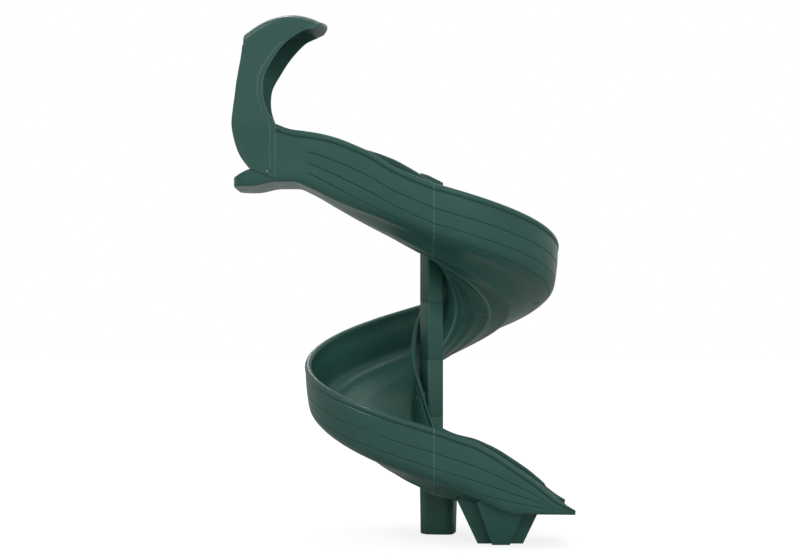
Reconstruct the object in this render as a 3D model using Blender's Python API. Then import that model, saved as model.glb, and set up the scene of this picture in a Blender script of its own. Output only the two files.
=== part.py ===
"""Spiral slide for a play deck: a full turn of moulded trough sections round a centre column.

Metres, +Z up. The origin is on the ground, on the axis of the column. A child walks in
from -X through the hood, goes down anticlockwise as seen from above, and leaves towards +X.
A place along the trough is its station: up to ENTRY_STATION it lies on the straight
entry, then it is the angle round the column in degrees, then it lies on the straight exit.
"""
from math import cos, pi, radians, sin, sqrt

import bmesh
import bpy
from mathutils import Matrix, Vector

GAP = 0.0003

# Deck and spiral
DECK_HEIGHT = 2.134
FIRST_SEAM_RIM = -0.009          # outer rim at the first seam, from the deck's height
LAST_SEAM_RIM = 0.705            # outer rim at the last seam, from the ground
SECTIONS = 4
SECTION_ANGLE = 90.0
FACET_ANGLE = 9.0
ENTRY_STATION = -90.0
EXIT_STATION = ENTRY_STATION + SECTIONS * SECTION_ANGLE
STATIONS_PER_METRE = 100.0       # on the straight ends

# Trough
OUTER_RADIUS = 0.79
HUB_RADIUS = 0.10
DEPTH = 0.420
WALL = 0.012
OUTER_ROLL = 0.022
INNER_ROLL = 0.014
SKIN_SET = 0.006                 # how far the wall stands in from the rim
LAP_ANGLE = 5.0                  # tongue of each section inside the next one
LAP_GAP = 0.0005
LAP_END_SET = 0.15               # keeps the lap's ends clear of the rims' edges
RIM_GROUP = 0.060                # height of the rim and the groove under it

# Entry
ENTRY_LENGTH = 1.17
HOOD_SEAM = 0.92                 # from the first seam back to the front edge of the hood
SILL_CORNER = 0.087
SILL_STEP = 0.001                # between the last ring of the sill and the first of the trough
SILL_FLAT = 0.10                 # flat underside from the back edge
SILL_THICK = 0.025
ENTRY_RINGS = 12
SILL_RINGS = 3
CURB_EDGE = 0.020                # where the curb meets the floor
DECK_HOLE_RADIUS = 0.004
DECK_HOLE_INSET = 0.045
DECK_HOLES = 3
DECK_HOLE_REACH = 0.05

# Exit
EXIT_LENGTH = 0.82
EXIT_FLOOR = 0.197               # underside of the flat run, from the ground
EXIT_TIP_HEIGHT = 0.030
EXIT_FLATTENS = (0.15, 0.62)     # where the round underside turns flat, as shares of the length
EXIT_RINGS = 12

# Hood
HOOD_WALL = 0.010
HOOD_SHOULDER = 0.055
HOOD_CROWN = 0.050
HOOD_VISOR_BOW = 0.090           # the visor's middle reaches this much further forward
HOOD_LEAN = 0.085                # lower part of each side leans in by this share of its height
HOOD_SEAM_GAP = 0.0013
HOOD_ACROSS = 6                  # facets from its rear edge to its front edge
HOOD_ROOF_ROWS = 4
HOOD_SHOULDER_ROWS = 3
HOOD_ROOF_FALL = 0.65            # how much flatter the roof is at the visor

# Column
COLUMN_SIDE = 0.112
COLUMN_CORNER = 0.013
COLUMN_WALL = 0.008
COLUMN_END_PLATE = 0.012
COLUMN_FOOT = 0.379              # first joint, from the ground
SLEEVES = 5
POST_RADIUS = 0.0302
POST_WALL = 0.0039
POST_CLEARANCE = 0.0005
POST_SOCKET = 0.055              # post's lower end, from the ground
CAP_LOW = 0.028
CAP_HIGH = 0.100
CAP_FLOOR = 0.016

# Column leg: plan corners as (x, y, corner radius)
LEG_PLAN = ((-0.075, 0.022, 0.02), (-0.036, -0.045, 0.02), (0.092, -0.066, 0.03),
            (0.140, -0.052, 0.02), (0.172, 0.095, 0.03), (0.060, 0.225, 0.05),
            (-0.070, 0.160, 0.03))
LEG_TAPER = 0.92

# Exit foot: a cross of two tapered arms
FOOT_X = 0.40
FOOT_TOP_LONG = 0.460
FOOT_LONG = 0.270
FOOT_TOP_WIDE = 0.250
FOOT_WIDE = 0.105
FOOT_TOP_FRONT = 0.440
FOOT_FRONT = 0.250
FOOT_TOP_ARM = 0.150
FOOT_ARM = 0.110
FOOT_TAPER_HEIGHT = 0.20
FOOT_OVERRUN = 1.35              # the cross runs on this far up before it is trimmed

# Brackets and fasteners
BRACKET_HEIGHT = 0.090
BRACKET_DROP = 0.110             # bracket's middle, below the outer rim beside it
BOLT_RADIUS = 0.004
HEAD_RADIUS = 0.013
HEAD_HEIGHT = 0.005
NUT_RADIUS = 0.009
RECESS_RADIUS = 0.018
RECESS_DEPTH = 0.003
HOLE_CLEARANCE = 0.0005
RIM_SCREW_LENGTH = 0.036
RIM_SCREW_RADIUS = 0.0025
RIM_HEAD_RADIUS = 0.008
FOOT_SCREW_LENGTH = 0.060
FOOT_SCREW_PLACES = (0.40, 0.56)  # along the exit, from the last seam
HOOD_BOLT_BACK = 0.047           # from the hood's front edge
HOOD_BOLT_EDGE = 0.019           # above the hood's lower edge
TOP_BOLT_LENGTH = 0.040
PLUG_HEIGHT = 0.030
ROUND_SIDES = 8

# Outlines chosen by eye. Along the entry: share of the way from the first seam back to the
# hood's front edge, and height from the deck's height
ENTRY_RIM = ((1.0, 0.335), (0.902, 0.303), (0.821, 0.293), (0.717, 0.278), (0.609, 0.252),
             (0.511, 0.217), (0.402, 0.171), (0.261, 0.092), (0.130, 0.038), (0.0, FIRST_SEAM_RIM))
ENTRY_UNDERSIDE = ((1.0, 0.0), (0.891, 0.0), (0.793, -0.035), (0.641, -0.118), (0.489, -0.200),
                   (0.337, -0.274), (0.196, -0.340), (0.0, FIRST_SEAM_RIM - DEPTH))
# Along the sill: share of the way from the hood's front edge to the back edge
CURB = ((0.0, 0.160), (0.40, 0.120), (0.72, 0.088), (1.0, 0.052))
# Along the exit: share of its length, and height from the ground
EXIT_RIM = ((0.0, LAST_SEAM_RIM), (0.146, 0.664), (0.293, 0.622), (0.439, 0.556), (0.573, 0.482),
            (0.720, 0.400), (0.854, 0.310), (0.951, 0.250), (1.0, EXIT_FLOOR + EXIT_TIP_HEIGHT))
EXIT_UNDERSIDE = ((0.0, LAST_SEAM_RIM - DEPTH), (0.171, 0.243), (0.366, 0.212),
                  (0.610, EXIT_FLOOR), (1.0, EXIT_FLOOR))
# The hood's edges. The rear one: share of the way along the sill, and up from the deck. The
# front one: back from the hood's seam, and up from the deck
HOOD_REAR = ((0.620, 0.078), (0.816, 0.146), (0.940, 0.226), (1.012, 0.326), (0.988, 0.406),
             (0.944, 0.486), (0.904, 0.566), (0.856, 0.636), (0.812, 0.696), (0.780, 0.746),
             (0.760, 0.786))
HOOD_FRONT = ((0.0, 0.021), (0.0, 0.110), (0.0, 0.225), (0.0, 0.338), (0.040, 0.401),
              (0.066, 0.476), (0.072, 0.551), (0.060, 0.622), (0.020, 0.696), (-0.052, 0.796),
              (-0.150, 0.874))
HOOD_ROOF_REAR = (0.744, 0.789)
HOOD_VISOR = (-0.205, 0.893)
HOOD_ROOF_BULGE = 0.075

# Trough section below the rim: across as a share of the width, down as a share of the depth
SPIRAL_BED = ((0.010, 0.093), (0.023, 0.349), (0.045, 0.571), (0.085, 0.668), (0.15, 0.750),
              (0.24, 0.800), (0.36, 0.885), (0.494, 0.967), (0.657, 1.0), (0.793, 0.986),
              (0.90, 0.934), (0.963, 0.854), (0.992, 0.731), (1.0, 0.50))
SILL_BED = ((0.010, 0.093), (0.018, 0.400), (0.028, 0.800), (0.045, 0.950), (0.090, 1.0),
            (0.24, 1.0), (0.36, 1.0), (0.494, 1.0), (0.657, 1.0), (0.793, 1.0),
            (0.90, 1.0), (0.955, 0.970), (0.990, 0.850), (1.0, 0.50))
# Rise of the rim by the column above the outer rim, by station
INNER_RISE = ((-182.0, 0.0), (-150.0, 0.020), (-128.0, 0.065), (-112.0, 0.100), (-100.0, 0.085),
              (-90.0, 0.062), (-40.0, 0.065), (180.0, 0.080), (225.0, 0.085), (250.0, 0.045),
              (270.0, -0.005), (285.0, -0.025), (301.0, -0.004), (317.0, 0.014), (334.0, 0.014),
              (352.0, 0.0))
# Height of the trough above an even fall between the end seams, by station
SPIRAL_SWELL = ((-90.0, 0.0), (-45.0, 0.010), (0.0, 0.019), (60.0, 0.036), (110.0, 0.040),
                (135.0, 0.036), (156.0, 0.026), (180.0, 0.014), (225.0, 0.004), (270.0, 0.0))
BRACKET_FACET = 2                # the facet of each section that its bracket bears on
CORNER_BOLT_POINT = 4            # the facet of the bed that the seam's corner bolt goes through

PLASTIC = (0.031, 0.088, 0.070)
STEEL = (0.52, 0.53, 0.54)


def smooth(keys, place):
    """Height at a place on a smooth curve through a few (place, height) points."""
    points = sorted(keys)
    if place <= points[0][0]:
        return points[0][1]
    if place >= points[-1][0]:
        return points[-1][1]
    last = len(points) - 1
    i = max(k for k in range(last) if points[k][0] <= place)
    slopes = [(points[k + 1][1] - points[k][1]) / (points[k + 1][0] - points[k][0])
              for k in range(last)]

    def tangent(k):
        if k in (0, last):
            return slopes[min(k, last - 1)]
        if slopes[k - 1] * slopes[k] <= 0.0:
            return 0.0
        return 2.0 * slopes[k - 1] * slopes[k] / (slopes[k - 1] + slopes[k])

    run = points[i + 1][0] - points[i][0]
    t = (place - points[i][0]) / run
    return ((2 * t ** 3 - 3 * t ** 2 + 1) * points[i][1] + (t ** 3 - 2 * t ** 2 + t) * run * tangent(i)
            + (3 * t ** 2 - 2 * t ** 3) * points[i + 1][1] + (t ** 3 - t ** 2) * run * tangent(i + 1))


def blend(low, high, value):
    """0 below low, 1 above high, eased between."""
    t = min(1.0, max(0.0, (value - low) / (high - low)))
    return t * t * (3.0 - 2.0 * t)


def entry_back(station):
    """Distance back from the first seam along the entry."""
    return (ENTRY_STATION - station) / STATIONS_PER_METRE


def exit_on(station):
    """Distance on from the last seam along the exit."""
    return (station - EXIT_STATION) / STATIONS_PER_METRE


def place(station, radius, height):
    """World point at a station, a radius from the column's axis and a height."""
    if station < ENTRY_STATION:
        return Vector((-entry_back(station), -radius, height))
    if station > EXIT_STATION:
        return Vector((exit_on(station), -radius, height))
    return Vector((radius * cos(radians(station)), radius * sin(radians(station)), height))


def outer_rim(station):
    if station <= ENTRY_STATION:
        return DECK_HEIGHT + smooth(ENTRY_RIM, entry_back(station) / HOOD_SEAM)
    if station >= EXIT_STATION:
        return smooth(EXIT_RIM, exit_on(station) / EXIT_LENGTH)
    first = DECK_HEIGHT + FIRST_SEAM_RIM
    share = (station - ENTRY_STATION) / (EXIT_STATION - ENTRY_STATION)
    return first + (LAST_SEAM_RIM - first) * share + smooth(SPIRAL_SWELL, station)


def underside(station):
    if station <= ENTRY_STATION:
        back = entry_back(station)
        fall = SILL_THICK * blend(HOOD_SEAM, ENTRY_LENGTH - SILL_FLAT, back)
        return DECK_HEIGHT + smooth(ENTRY_UNDERSIDE, back / HOOD_SEAM) - fall
    if station >= EXIT_STATION:
        return smooth(EXIT_UNDERSIDE, exit_on(station) / EXIT_LENGTH)
    return outer_rim(station) - DEPTH


def inner_rise(station):
    """How far the rim by the column stands above the outer rim."""
    return smooth(INNER_RISE, station)


def rim_pairs(edge, top, roll, wall, side, skin_set):
    """Outer and inner points over a rolled rim, from its slide side down to the groove."""
    middle = edge - side * roll

    def turned(angle):
        return (middle + side * roll * cos(radians(angle)), top - roll + roll * sin(radians(angle)))

    face = edge - side * (skin_set + wall)
    group = RIM_GROUP * roll / OUTER_ROLL
    outer = [turned(a) for a in (165, 125, 85, 45, 5)]
    outer.append((edge - side * skin_set, top - 2.0 * roll))
    inner = [turned(a) for a in (195, 222, 248, 270)]
    inner.append((face, top - 2.0 * roll - 0.15 * (group - 2.0 * roll)))
    inner.append((face, top - group))
    return list(zip(outer, inner))


def bed_pairs(station, top, low, wall):
    """Outer and inner points of the walls and floor below the rims."""
    soft = 1.0 - blend(0.10, 0.80, entry_back(station)) if station < ENTRY_STATION else 1.0
    if station > EXIT_STATION:
        soft = 1.0 - blend(EXIT_FLATTENS[0], EXIT_FLATTENS[1], exit_on(station) / EXIT_LENGTH)
    width = OUTER_RADIUS - HUB_RADIUS
    outer = []
    for (q_spiral, f_spiral), (q_sill, f_sill) in zip(SPIRAL_BED, SILL_BED):
        q = q_sill + (q_spiral - q_sill) * soft
        f = f_sill + (f_spiral - f_sill) * soft
        outer.append((OUTER_RADIUS - width * q, top + (low - top) * f))
    pairs = []
    last = len(outer) - 1
    for k, (r, z) in enumerate(outer):
        before = outer[max(k - 1, 0)]
        after = outer[min(k + 1, last)]
        along = Vector((after[0] - before[0], after[1] - before[1])).normalized()
        if k in (0, last):
            along = Vector((0.0, -1.0 if k == 0 else 1.0))
        pairs.append(((r, z), (r + wall * along.y, z - wall * along.x)))
    return pairs


def hood_side(height):
    """Outer face of the hood's near side, as a radius, at a height."""
    return OUTER_RADIUS - HOOD_LEAN * max(0.0, DECK_HEIGHT + ENTRY_RIM[0][1] - height)


def curb_section(back):
    """Pairs for the sill, whose low curbs stand inside the hood."""
    low = underside(ENTRY_STATION - back * STATIONS_PER_METRE)
    top = low + smooth(CURB, (back - HOOD_SEAM) / (ENTRY_LENGTH - HOOD_SEAM))
    cut = max(0.0, back - (ENTRY_LENGTH - SILL_CORNER))
    corner = SILL_CORNER - sqrt(max(SILL_CORNER ** 2 - cut ** 2, 0.0))
    inset = HOOD_WALL * sqrt(1.0 + HOOD_LEAN ** 2) + GAP + corner
    middle = 0.5 * (OUTER_RADIUS + HUB_RADIUS)

    def half_width(height):
        return hood_side(height) - inset - middle

    rows = 8
    side = []
    for k in range(rows):
        z = top + (low - top) * k / rows
        z_in = low + WALL + (z - low) * (top - low - WALL) / (top - low)
        side.append(((half_width(z), z), (half_width(z_in) - WALL, z_in)))
    reach = half_width(low) - CURB_EDGE
    count = 8
    floor = [reach - 2.0 * reach * k / (count - 1) for k in range(count)]
    pairs = [((middle + a, za), (middle + b, zb)) for (a, za), (b, zb) in side]
    pairs += [((middle + f, low), (middle + f, low + WALL)) for f in floor]
    pairs += [((middle - a, za), (middle - b, zb)) for (a, za), (b, zb) in side[::-1]]
    return pairs


def section(station):
    """Pairs of outer and inner (radius, height) points across the trough's wall."""
    top = outer_rim(station)
    low = underside(station)
    top_in = top + inner_rise(station)
    thick = WALL
    squash = 1.0
    least = 2.0 * RIM_GROUP
    if top - low < least:
        squash = (top - low) / least
        thick = WALL * (2.0 - squash)
        top = low + least
        top_in = top
    rim = rim_pairs(OUTER_RADIUS, top, OUTER_ROLL, thick, 1, SKIN_SET)
    bed = bed_pairs(station, top - RIM_GROUP, low, thick)
    hub = rim_pairs(HUB_RADIUS, top_in, INNER_ROLL, thick, -1, 0.0)
    hub = [hub[k] for k in (0, 2, 4, 5)]
    pairs = rim + bed + hub[::-1]
    return [tuple((r, low + (z - low) * squash) for r, z in pair) for pair in pairs]


def heading(station):
    """Unit direction of travel at a station, seen from above."""
    if ENTRY_STATION <= station <= EXIT_STATION:
        return Vector((-sin(radians(station)), cos(radians(station)), 0.0))
    return Vector((1.0, 0.0, 0.0))


def ring(station, kind="full", shift=0.0, pairs=None):
    """Closed loop of world points: the whole wall, its inner tongue or its outer socket."""
    pairs = [(Vector(a), Vector(b)) for a, b in pairs or section(station)]
    middles = [(a + b) * 0.5 for a, b in pairs]
    middles[0] += (middles[1] - middles[0]) * LAP_END_SET
    middles[-1] += (middles[-2] - middles[-1]) * LAP_END_SET
    outer, inner = [], []
    for (a, b), middle in zip(pairs, middles):
        step = (b - a).normalized() * LAP_GAP * 0.5
        outer.append(middle + step if kind == "tongue" else a)
        inner.append(middle - step if kind == "socket" else b)
    move = heading(station) * shift
    return [place(station, p.x, p.y) + move for p in outer + inner[::-1]]


def skin(rings):
    """Closed mesh through a row of rings with capped ends."""
    mesh = bmesh.new()
    rows = [[mesh.verts.new(p) for p in points] for points in rings]
    count = len(rings[0])
    for low, high in zip(rows, rows[1:]):
        for k in range(count):
            n = (k + 1) % count
            mesh.faces.new((low[k], low[n], high[n], high[k]))
    for row in (rows[0], rows[-1]):
        for k in range(count // 2 - 1):
            mesh.faces.new((row[k], row[k + 1], row[count - 2 - k], row[count - 1 - k]))
    finish_mesh(mesh)
    return mesh


def finish_mesh(mesh):
    """Weld, split into triangles and turn the faces outwards."""
    bmesh.ops.remove_doubles(mesh, verts=mesh.verts, dist=0.00001)
    bmesh.ops.triangulate(mesh, faces=mesh.faces)
    bmesh.ops.recalc_face_normals(mesh, faces=mesh.faces)


def steps(start, end, count):
    """Evenly spaced values from start to end."""
    return [start + (end - start) * k / count for k in range(count + 1)]


def body_stations(start, end):
    """Stations of a spiral section between its socket and its tongue."""
    return steps(start + LAP_ANGLE, end, round((end - start - LAP_ANGLE) / FACET_ANGLE))


def socket_rings(start):
    return [ring(start, "socket", GAP * 0.5), ring(start + LAP_ANGLE, "socket")]


def tongue_rings(end):
    return [ring(end, "full", -GAP * 0.5), ring(end, "tongue", -GAP * 0.5),
            ring(end + LAP_ANGLE, "tongue", -GAP)]


def plastic(name, colour, rough, metal):
    """A plain material of one colour."""
    material = bpy.data.materials.new(name)
    material.use_nodes = True
    shader = material.node_tree.nodes["Principled BSDF"]
    shader.inputs["Base Color"].default_value = (*colour, 1.0)
    shader.inputs["Roughness"].default_value = rough
    shader.inputs["Metallic"].default_value = metal
    return material


def add_object(name, mesh, metal=False):
    """Turn a bmesh into a smooth-shaded object with its own material."""
    data = bpy.data.meshes.new(name)
    mesh.to_mesh(data)
    mesh.free()
    data.shade_smooth()
    data.set_sharp_from_angle(angle=radians(35.0))
    item = bpy.data.objects.new(name, data)
    bpy.context.scene.collection.objects.link(item)
    look = (STEEL, 0.35, 1.0) if metal else (PLASTIC, 0.38, 0.0)
    data.materials.append(plastic(name, *look))
    return item


def cut(item, cutter_mesh):
    """Cut a mesh out of an object with a Boolean whose cutter stays hidden."""
    cutter = add_object(item.name + "_cutter", cutter_mesh)
    cutter.hide_render = True
    cutter.display_type = "WIRE"
    boolean = item.modifiers.new("holes", "BOOLEAN")
    boolean.operation = "DIFFERENCE"
    boolean.object = cutter


def frame_at(origin, direction):
    """Matrix whose Z axis points along a direction."""
    turn = Vector(direction).normalized().to_track_quat("Z", "Y").to_matrix().to_4x4()
    return Matrix.Translation(origin) @ turn


def turned_solid(mesh, profile, matrix, sides=ROUND_SIDES):
    """Add a solid of revolution; a profile point on the axis closes to one vertex."""
    rows = []
    for radius, height in profile:
        if radius == 0.0:
            rows.append([mesh.verts.new(matrix @ Vector((0.0, 0.0, height)))])
            continue
        angles = [2.0 * pi * k / sides for k in range(sides)]
        rows.append([mesh.verts.new(matrix @ Vector((radius * cos(a), radius * sin(a), height)))
                     for a in angles])
    faces = []
    closed = len(rows[0]) > 1
    for one, two in zip(rows, rows[1:] + (rows[:1] if closed else [])):
        for k in range(sides):
            n = (k + 1) % sides
            corners = [one[k % len(one)], one[n % len(one)], two[n % len(two)], two[k % len(two)]]
            unique = list(dict.fromkeys(corners))
            if len(unique) > 2:
                faces.append(mesh.faces.new(unique))
    bmesh.ops.recalc_face_normals(mesh, faces=faces)


def prism(rings):
    """Closed solid through rings of equal count, with flat n-sided ends."""
    mesh = bmesh.new()
    rows = [[mesh.verts.new(p) for p in points] for points in rings]
    count = len(rings[0])
    for low, high in zip(rows, rows[1:]):
        for k in range(count):
            n = (k + 1) % count
            mesh.faces.new((low[k], low[n], high[n], high[k]))
    mesh.faces.new(rows[0])
    mesh.faces.new(rows[-1])
    finish_mesh(mesh)
    return mesh


def bolt_profile(radius, length, head_radius, head_height):
    """Domed head above zero, shank below it."""
    return ((0.0, head_height), (head_radius * 0.7, head_height * 0.85), (head_radius, 0.0),
            (radius, 0.0), (radius, -length), (0.0, -length))


def hole_profile(radius, length, recess, depth, above=0.02):
    """Cutter with a round recess above a hole."""
    return ((0.0, above), (recess, above), (recess, -depth), (radius, -depth),
            (radius, -length), (0.0, -length))


def through_profile(radius, thick, recess, depth, clear=0.02):
    """Cutter for a hole with a recess on both faces of a wall."""
    return ((0.0, clear), (recess, clear), (recess, -depth), (radius, -depth),
            (radius, depth - thick), (recess, depth - thick), (recess, -thick - clear),
            (0.0, -thick - clear))


def facet(station_a, station_b, k):
    """Middle, outward direction and thickness of one facet of the trough's outer skin."""
    a, b = section(station_a), section(station_b)
    corners = [place(station_a, *a[k][0]), place(station_a, *a[k + 1][0]),
               place(station_b, *b[k + 1][0]), place(station_b, *b[k][0])]
    inner = [place(station_a, *a[k][1]), place(station_a, *a[k + 1][1]),
             place(station_b, *b[k + 1][1]), place(station_b, *b[k][1])]
    normal = (corners[2] - corners[0]).cross(corners[3] - corners[1]).normalized()
    middle = sum(corners, Vector()) / 4.0
    depth = (middle - sum(inner, Vector()) / 4.0).dot(normal)
    if depth < 0.0:
        normal = -normal
    return middle, normal, abs(depth)


SEAMS = [ENTRY_STATION + k * SECTION_ANGLE for k in range(SECTIONS + 1)]
RIM_PAIRS = 6
HOLE_RADIUS = BOLT_RADIUS + HOLE_CLEARANCE


def corner_bolt_frame(seam):
    middle, normal, thick = facet(seam, seam + LAP_ANGLE, RIM_PAIRS + CORNER_BOLT_POINT)
    return frame_at(middle, normal), thick


def rim_screw_frame(seam):
    """On the crown of the rolled rim, facing up and towards the slide."""
    station = seam + LAP_ANGLE * 0.5
    reach = OUTER_ROLL * sqrt(0.5) * 0.97
    centre = place(station, OUTER_RADIUS - OUTER_ROLL, outer_rim(station) - OUTER_ROLL)
    tip = place(station, OUTER_RADIUS - OUTER_ROLL - reach, outer_rim(station) - OUTER_ROLL + reach)
    return frame_at(tip, tip - centre)


def seam_cutter(seams):
    """Holes of the corner bolts and rim screws at some seams."""
    mesh = bmesh.new()
    for seam in seams:
        matrix, thick = corner_bolt_frame(seam)
        turned_solid(mesh, through_profile(HOLE_RADIUS, thick, RECESS_RADIUS, RECESS_DEPTH), matrix)
        hole = hole_profile(RIM_SCREW_RADIUS + HOLE_CLEARANCE * 0.5, RIM_SCREW_LENGTH + GAP,
                            RIM_HEAD_RADIUS + HOLE_CLEARANCE, RECESS_DEPTH)
        turned_solid(mesh, hole, rim_screw_frame(seam))
    return mesh


def bracket_station(index):
    """Station in the middle of the facet that a section's bracket bears on."""
    stations = body_stations(SEAMS[index], SEAMS[index + 1])
    return 0.5 * (stations[BRACKET_FACET] + stations[BRACKET_FACET + 1])


COLUMN_TURN = bracket_station(0)


def hub_bolt_frame(index):
    """On the slide face of the wall by the column, pointing away from the column."""
    station = bracket_station(index)
    half_facet = 0.5 * (body_stations(SEAMS[0], SEAMS[1])[1] - body_stations(SEAMS[0], SEAMS[1])[0])
    face = (HUB_RADIUS + WALL) * cos(radians(half_facet))
    height = outer_rim(station) - BRACKET_DROP
    return frame_at(place(station, face, height), place(station, 1.0, 0.0))


def make_spiral_section(index):
    start, end = SEAMS[index], SEAMS[index + 1]
    rings = socket_rings(start)
    rings += [ring(s) for s in body_stations(start, end)[:-1]]
    rings += tongue_rings(end)
    item = add_object("spiral_section_%d" % (index + 1), skin(rings))
    cutter = seam_cutter((start, end))
    hole = hole_profile(HOLE_RADIUS, 3.0 * WALL, HEAD_RADIUS + HOLE_CLEARANCE, RECESS_DEPTH)
    turned_solid(cutter, hole, hub_bolt_frame(index))
    cut(item, cutter)


def make_entry():
    corner_start = ENTRY_LENGTH - SILL_CORNER
    sill = [corner_start + SILL_CORNER * share for share in (1.0, 0.965, 0.83, 0.54)]
    sill += steps(corner_start, HOOD_SEAM + SILL_STEP, SILL_RINGS)
    rings = []
    for back in sill:
        station = ENTRY_STATION - back * STATIONS_PER_METRE
        rings.append(ring(station, pairs=curb_section(back)))
    for back in steps(HOOD_SEAM, 0.0, ENTRY_RINGS)[:-1]:
        rings.append(ring(ENTRY_STATION - back * STATIONS_PER_METRE))
    rings += tongue_rings(ENTRY_STATION)
    item = add_object("entry_section", skin(rings))
    cutter = seam_cutter(SEAMS[:1])
    middle = 0.5 * (OUTER_RADIUS + HUB_RADIUS)
    spacing = 0.5 * (OUTER_RADIUS - HUB_RADIUS) / (DECK_HOLES - 1)
    for k in range(DECK_HOLES):
        y = -middle + (k - 0.5 * (DECK_HOLES - 1)) * spacing
        spot = Vector((DECK_HOLE_INSET - ENTRY_LENGTH, y, DECK_HEIGHT))
        turned_solid(cutter, ((0.0, DECK_HOLE_REACH), (DECK_HOLE_RADIUS, DECK_HOLE_REACH),
                              (DECK_HOLE_RADIUS, -DECK_HOLE_REACH), (0.0, -DECK_HOLE_REACH)),
                     Matrix.Translation(spot))
    hood_holes(cutter)
    cut(item, cutter)


def exit_stations():
    return steps(EXIT_STATION + LAP_ANGLE, EXIT_STATION + EXIT_LENGTH * STATIONS_PER_METRE, EXIT_RINGS)


def make_exit():
    rings = socket_rings(EXIT_STATION) + [ring(station) for station in exit_stations()]
    item = add_object("exit_section", skin(rings))
    cutter = seam_cutter(SEAMS[-1:])
    for matrix in foot_screw_frames():
        hole = hole_profile(HOLE_RADIUS, FOOT_SCREW_LENGTH, HEAD_RADIUS + HOLE_CLEARANCE, RECESS_DEPTH)
        turned_solid(cutter, hole, matrix)
    cut(item, cutter)


def hood_outline():
    """Rows of the hood's outer skin: near side up, over the roof and down the far side."""
    rows = []
    middle = 0.5 * (OUTER_RADIUS + HUB_RADIUS)
    shares = [k / HOOD_ACROSS for k in range(HOOD_ACROSS + 1)]

    def hood_back(rear, front, s):
        start = HOOD_SEAM + (ENTRY_LENGTH - HOOD_SEAM) * rear
        return start + (HOOD_SEAM + HOOD_SEAM_GAP + front - start) * s

    def side_row(rear, front, sign):
        points = []
        for s in shares:
            back = hood_back(rear[0], front[0], s)
            z = DECK_HEIGHT + rear[1] + (front[1] - rear[1]) * s
            points.append(Vector((-back, -middle - sign * (hood_side(z) - middle), z)))
        return points

    def roof_row(inward, lift, sign, bow=0.0):
        points = []
        for s in shares:
            back = hood_back(HOOD_ROOF_REAR[0], HOOD_VISOR[0] - bow, s)
            z = HOOD_ROOF_REAR[1] + (HOOD_VISOR[1] - HOOD_ROOF_REAR[1]) * s
            z += HOOD_ROOF_BULGE * 4.0 * s * (1.0 - s) + lift * (1.0 - HOOD_ROOF_FALL * s * s)
            y = -middle - sign * (OUTER_RADIUS - middle - inward)
            points.append(Vector((-back, y, DECK_HEIGHT + z)))
        return points

    near = [side_row(r, f, 1) for r, f in zip(HOOD_REAR, HOOD_FRONT)]
    far = [side_row(r, f, -1) for r, f in zip(HOOD_REAR, HOOD_FRONT)]
    shoulder = []
    for k in range(HOOD_SHOULDER_ROWS + 1):
        turn = radians(90.0 * k / HOOD_SHOULDER_ROWS)
        shoulder.append((HOOD_SHOULDER * (1.0 - cos(turn)), HOOD_SHOULDER * sin(turn)))
    rows += near
    rows += [roof_row(a, b, 1) for a, b in shoulder]
    half = OUTER_RADIUS - middle - HOOD_SHOULDER
    for k in range(1, HOOD_ROOF_ROWS):
        across = 1.0 - 2.0 * k / HOOD_ROOF_ROWS
        rise = 1.0 - across * across
        lift = HOOD_SHOULDER + HOOD_CROWN * rise
        rows.append(roof_row(OUTER_RADIUS - middle - half * across, lift, 1, HOOD_VISOR_BOW * rise))
    rows += [roof_row(a, b, -1) for a, b in shoulder[::-1]]
    rows += far[::-1]
    return rows


def make_hood():
    """Outer skin and an inner one a wall's thickness inside it, joined round the edge."""
    mesh = bmesh.new()
    grid = [[mesh.verts.new(p) for p in row] for row in hood_outline()]
    for one, two in zip(grid, grid[1:]):
        for k in range(HOOD_ACROSS):
            mesh.faces.new((one[k], one[k + 1], two[k + 1], two[k]))
    mesh.normal_update()
    inner = [[mesh.verts.new(v.co - v.normal * HOOD_WALL) for v in row] for row in grid]
    for one, two in zip(inner, inner[1:]):
        for k in range(HOOD_ACROSS):
            mesh.faces.new((one[k], two[k], two[k + 1], one[k + 1]))
    for a, b in ((0, 1), (len(grid) - 1, -1)):
        for k in range(HOOD_ACROSS):
            mesh.faces.new((grid[a][k], grid[a][k + 1], inner[a][k + 1], inner[a][k]))
    for k in (0, HOOD_ACROSS):
        for i in range(len(grid) - 1):
            mesh.faces.new((grid[i][k], grid[i + 1][k], inner[i + 1][k], inner[i][k]))
    finish_mesh(mesh)
    item = add_object("entry_hood", mesh)
    cutter = bmesh.new()
    hood_holes(cutter)
    cut(item, cutter)


def hood_bolt_frames():
    """On the hood's outer faces, one on each side."""
    x = HOOD_BOLT_BACK + HOOD_SEAM
    share = HOOD_BOLT_BACK / ((ENTRY_LENGTH - HOOD_SEAM) * HOOD_REAR[0][0])
    edge = HOOD_FRONT[0][1] + (HOOD_REAR[0][1] - HOOD_FRONT[0][1]) * share
    z = DECK_HEIGHT + edge + HOOD_BOLT_EDGE
    near = Vector((-x, -hood_side(z), z))
    far = Vector((-x, hood_side(z) - OUTER_RADIUS - HUB_RADIUS, z))
    return [frame_at(near, (0.0, -1.0, -HOOD_LEAN)), frame_at(far, (0.0, 1.0, -HOOD_LEAN))]


HOOD_STACK = HOOD_WALL + GAP + WALL / sqrt(1.0 + HOOD_LEAN ** 2)


def hood_holes(mesh):
    hole = through_profile(HOLE_RADIUS, HOOD_STACK, RECESS_RADIUS, RECESS_DEPTH)
    for matrix in hood_bolt_frames():
        turned_solid(mesh, hole, matrix)


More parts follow.
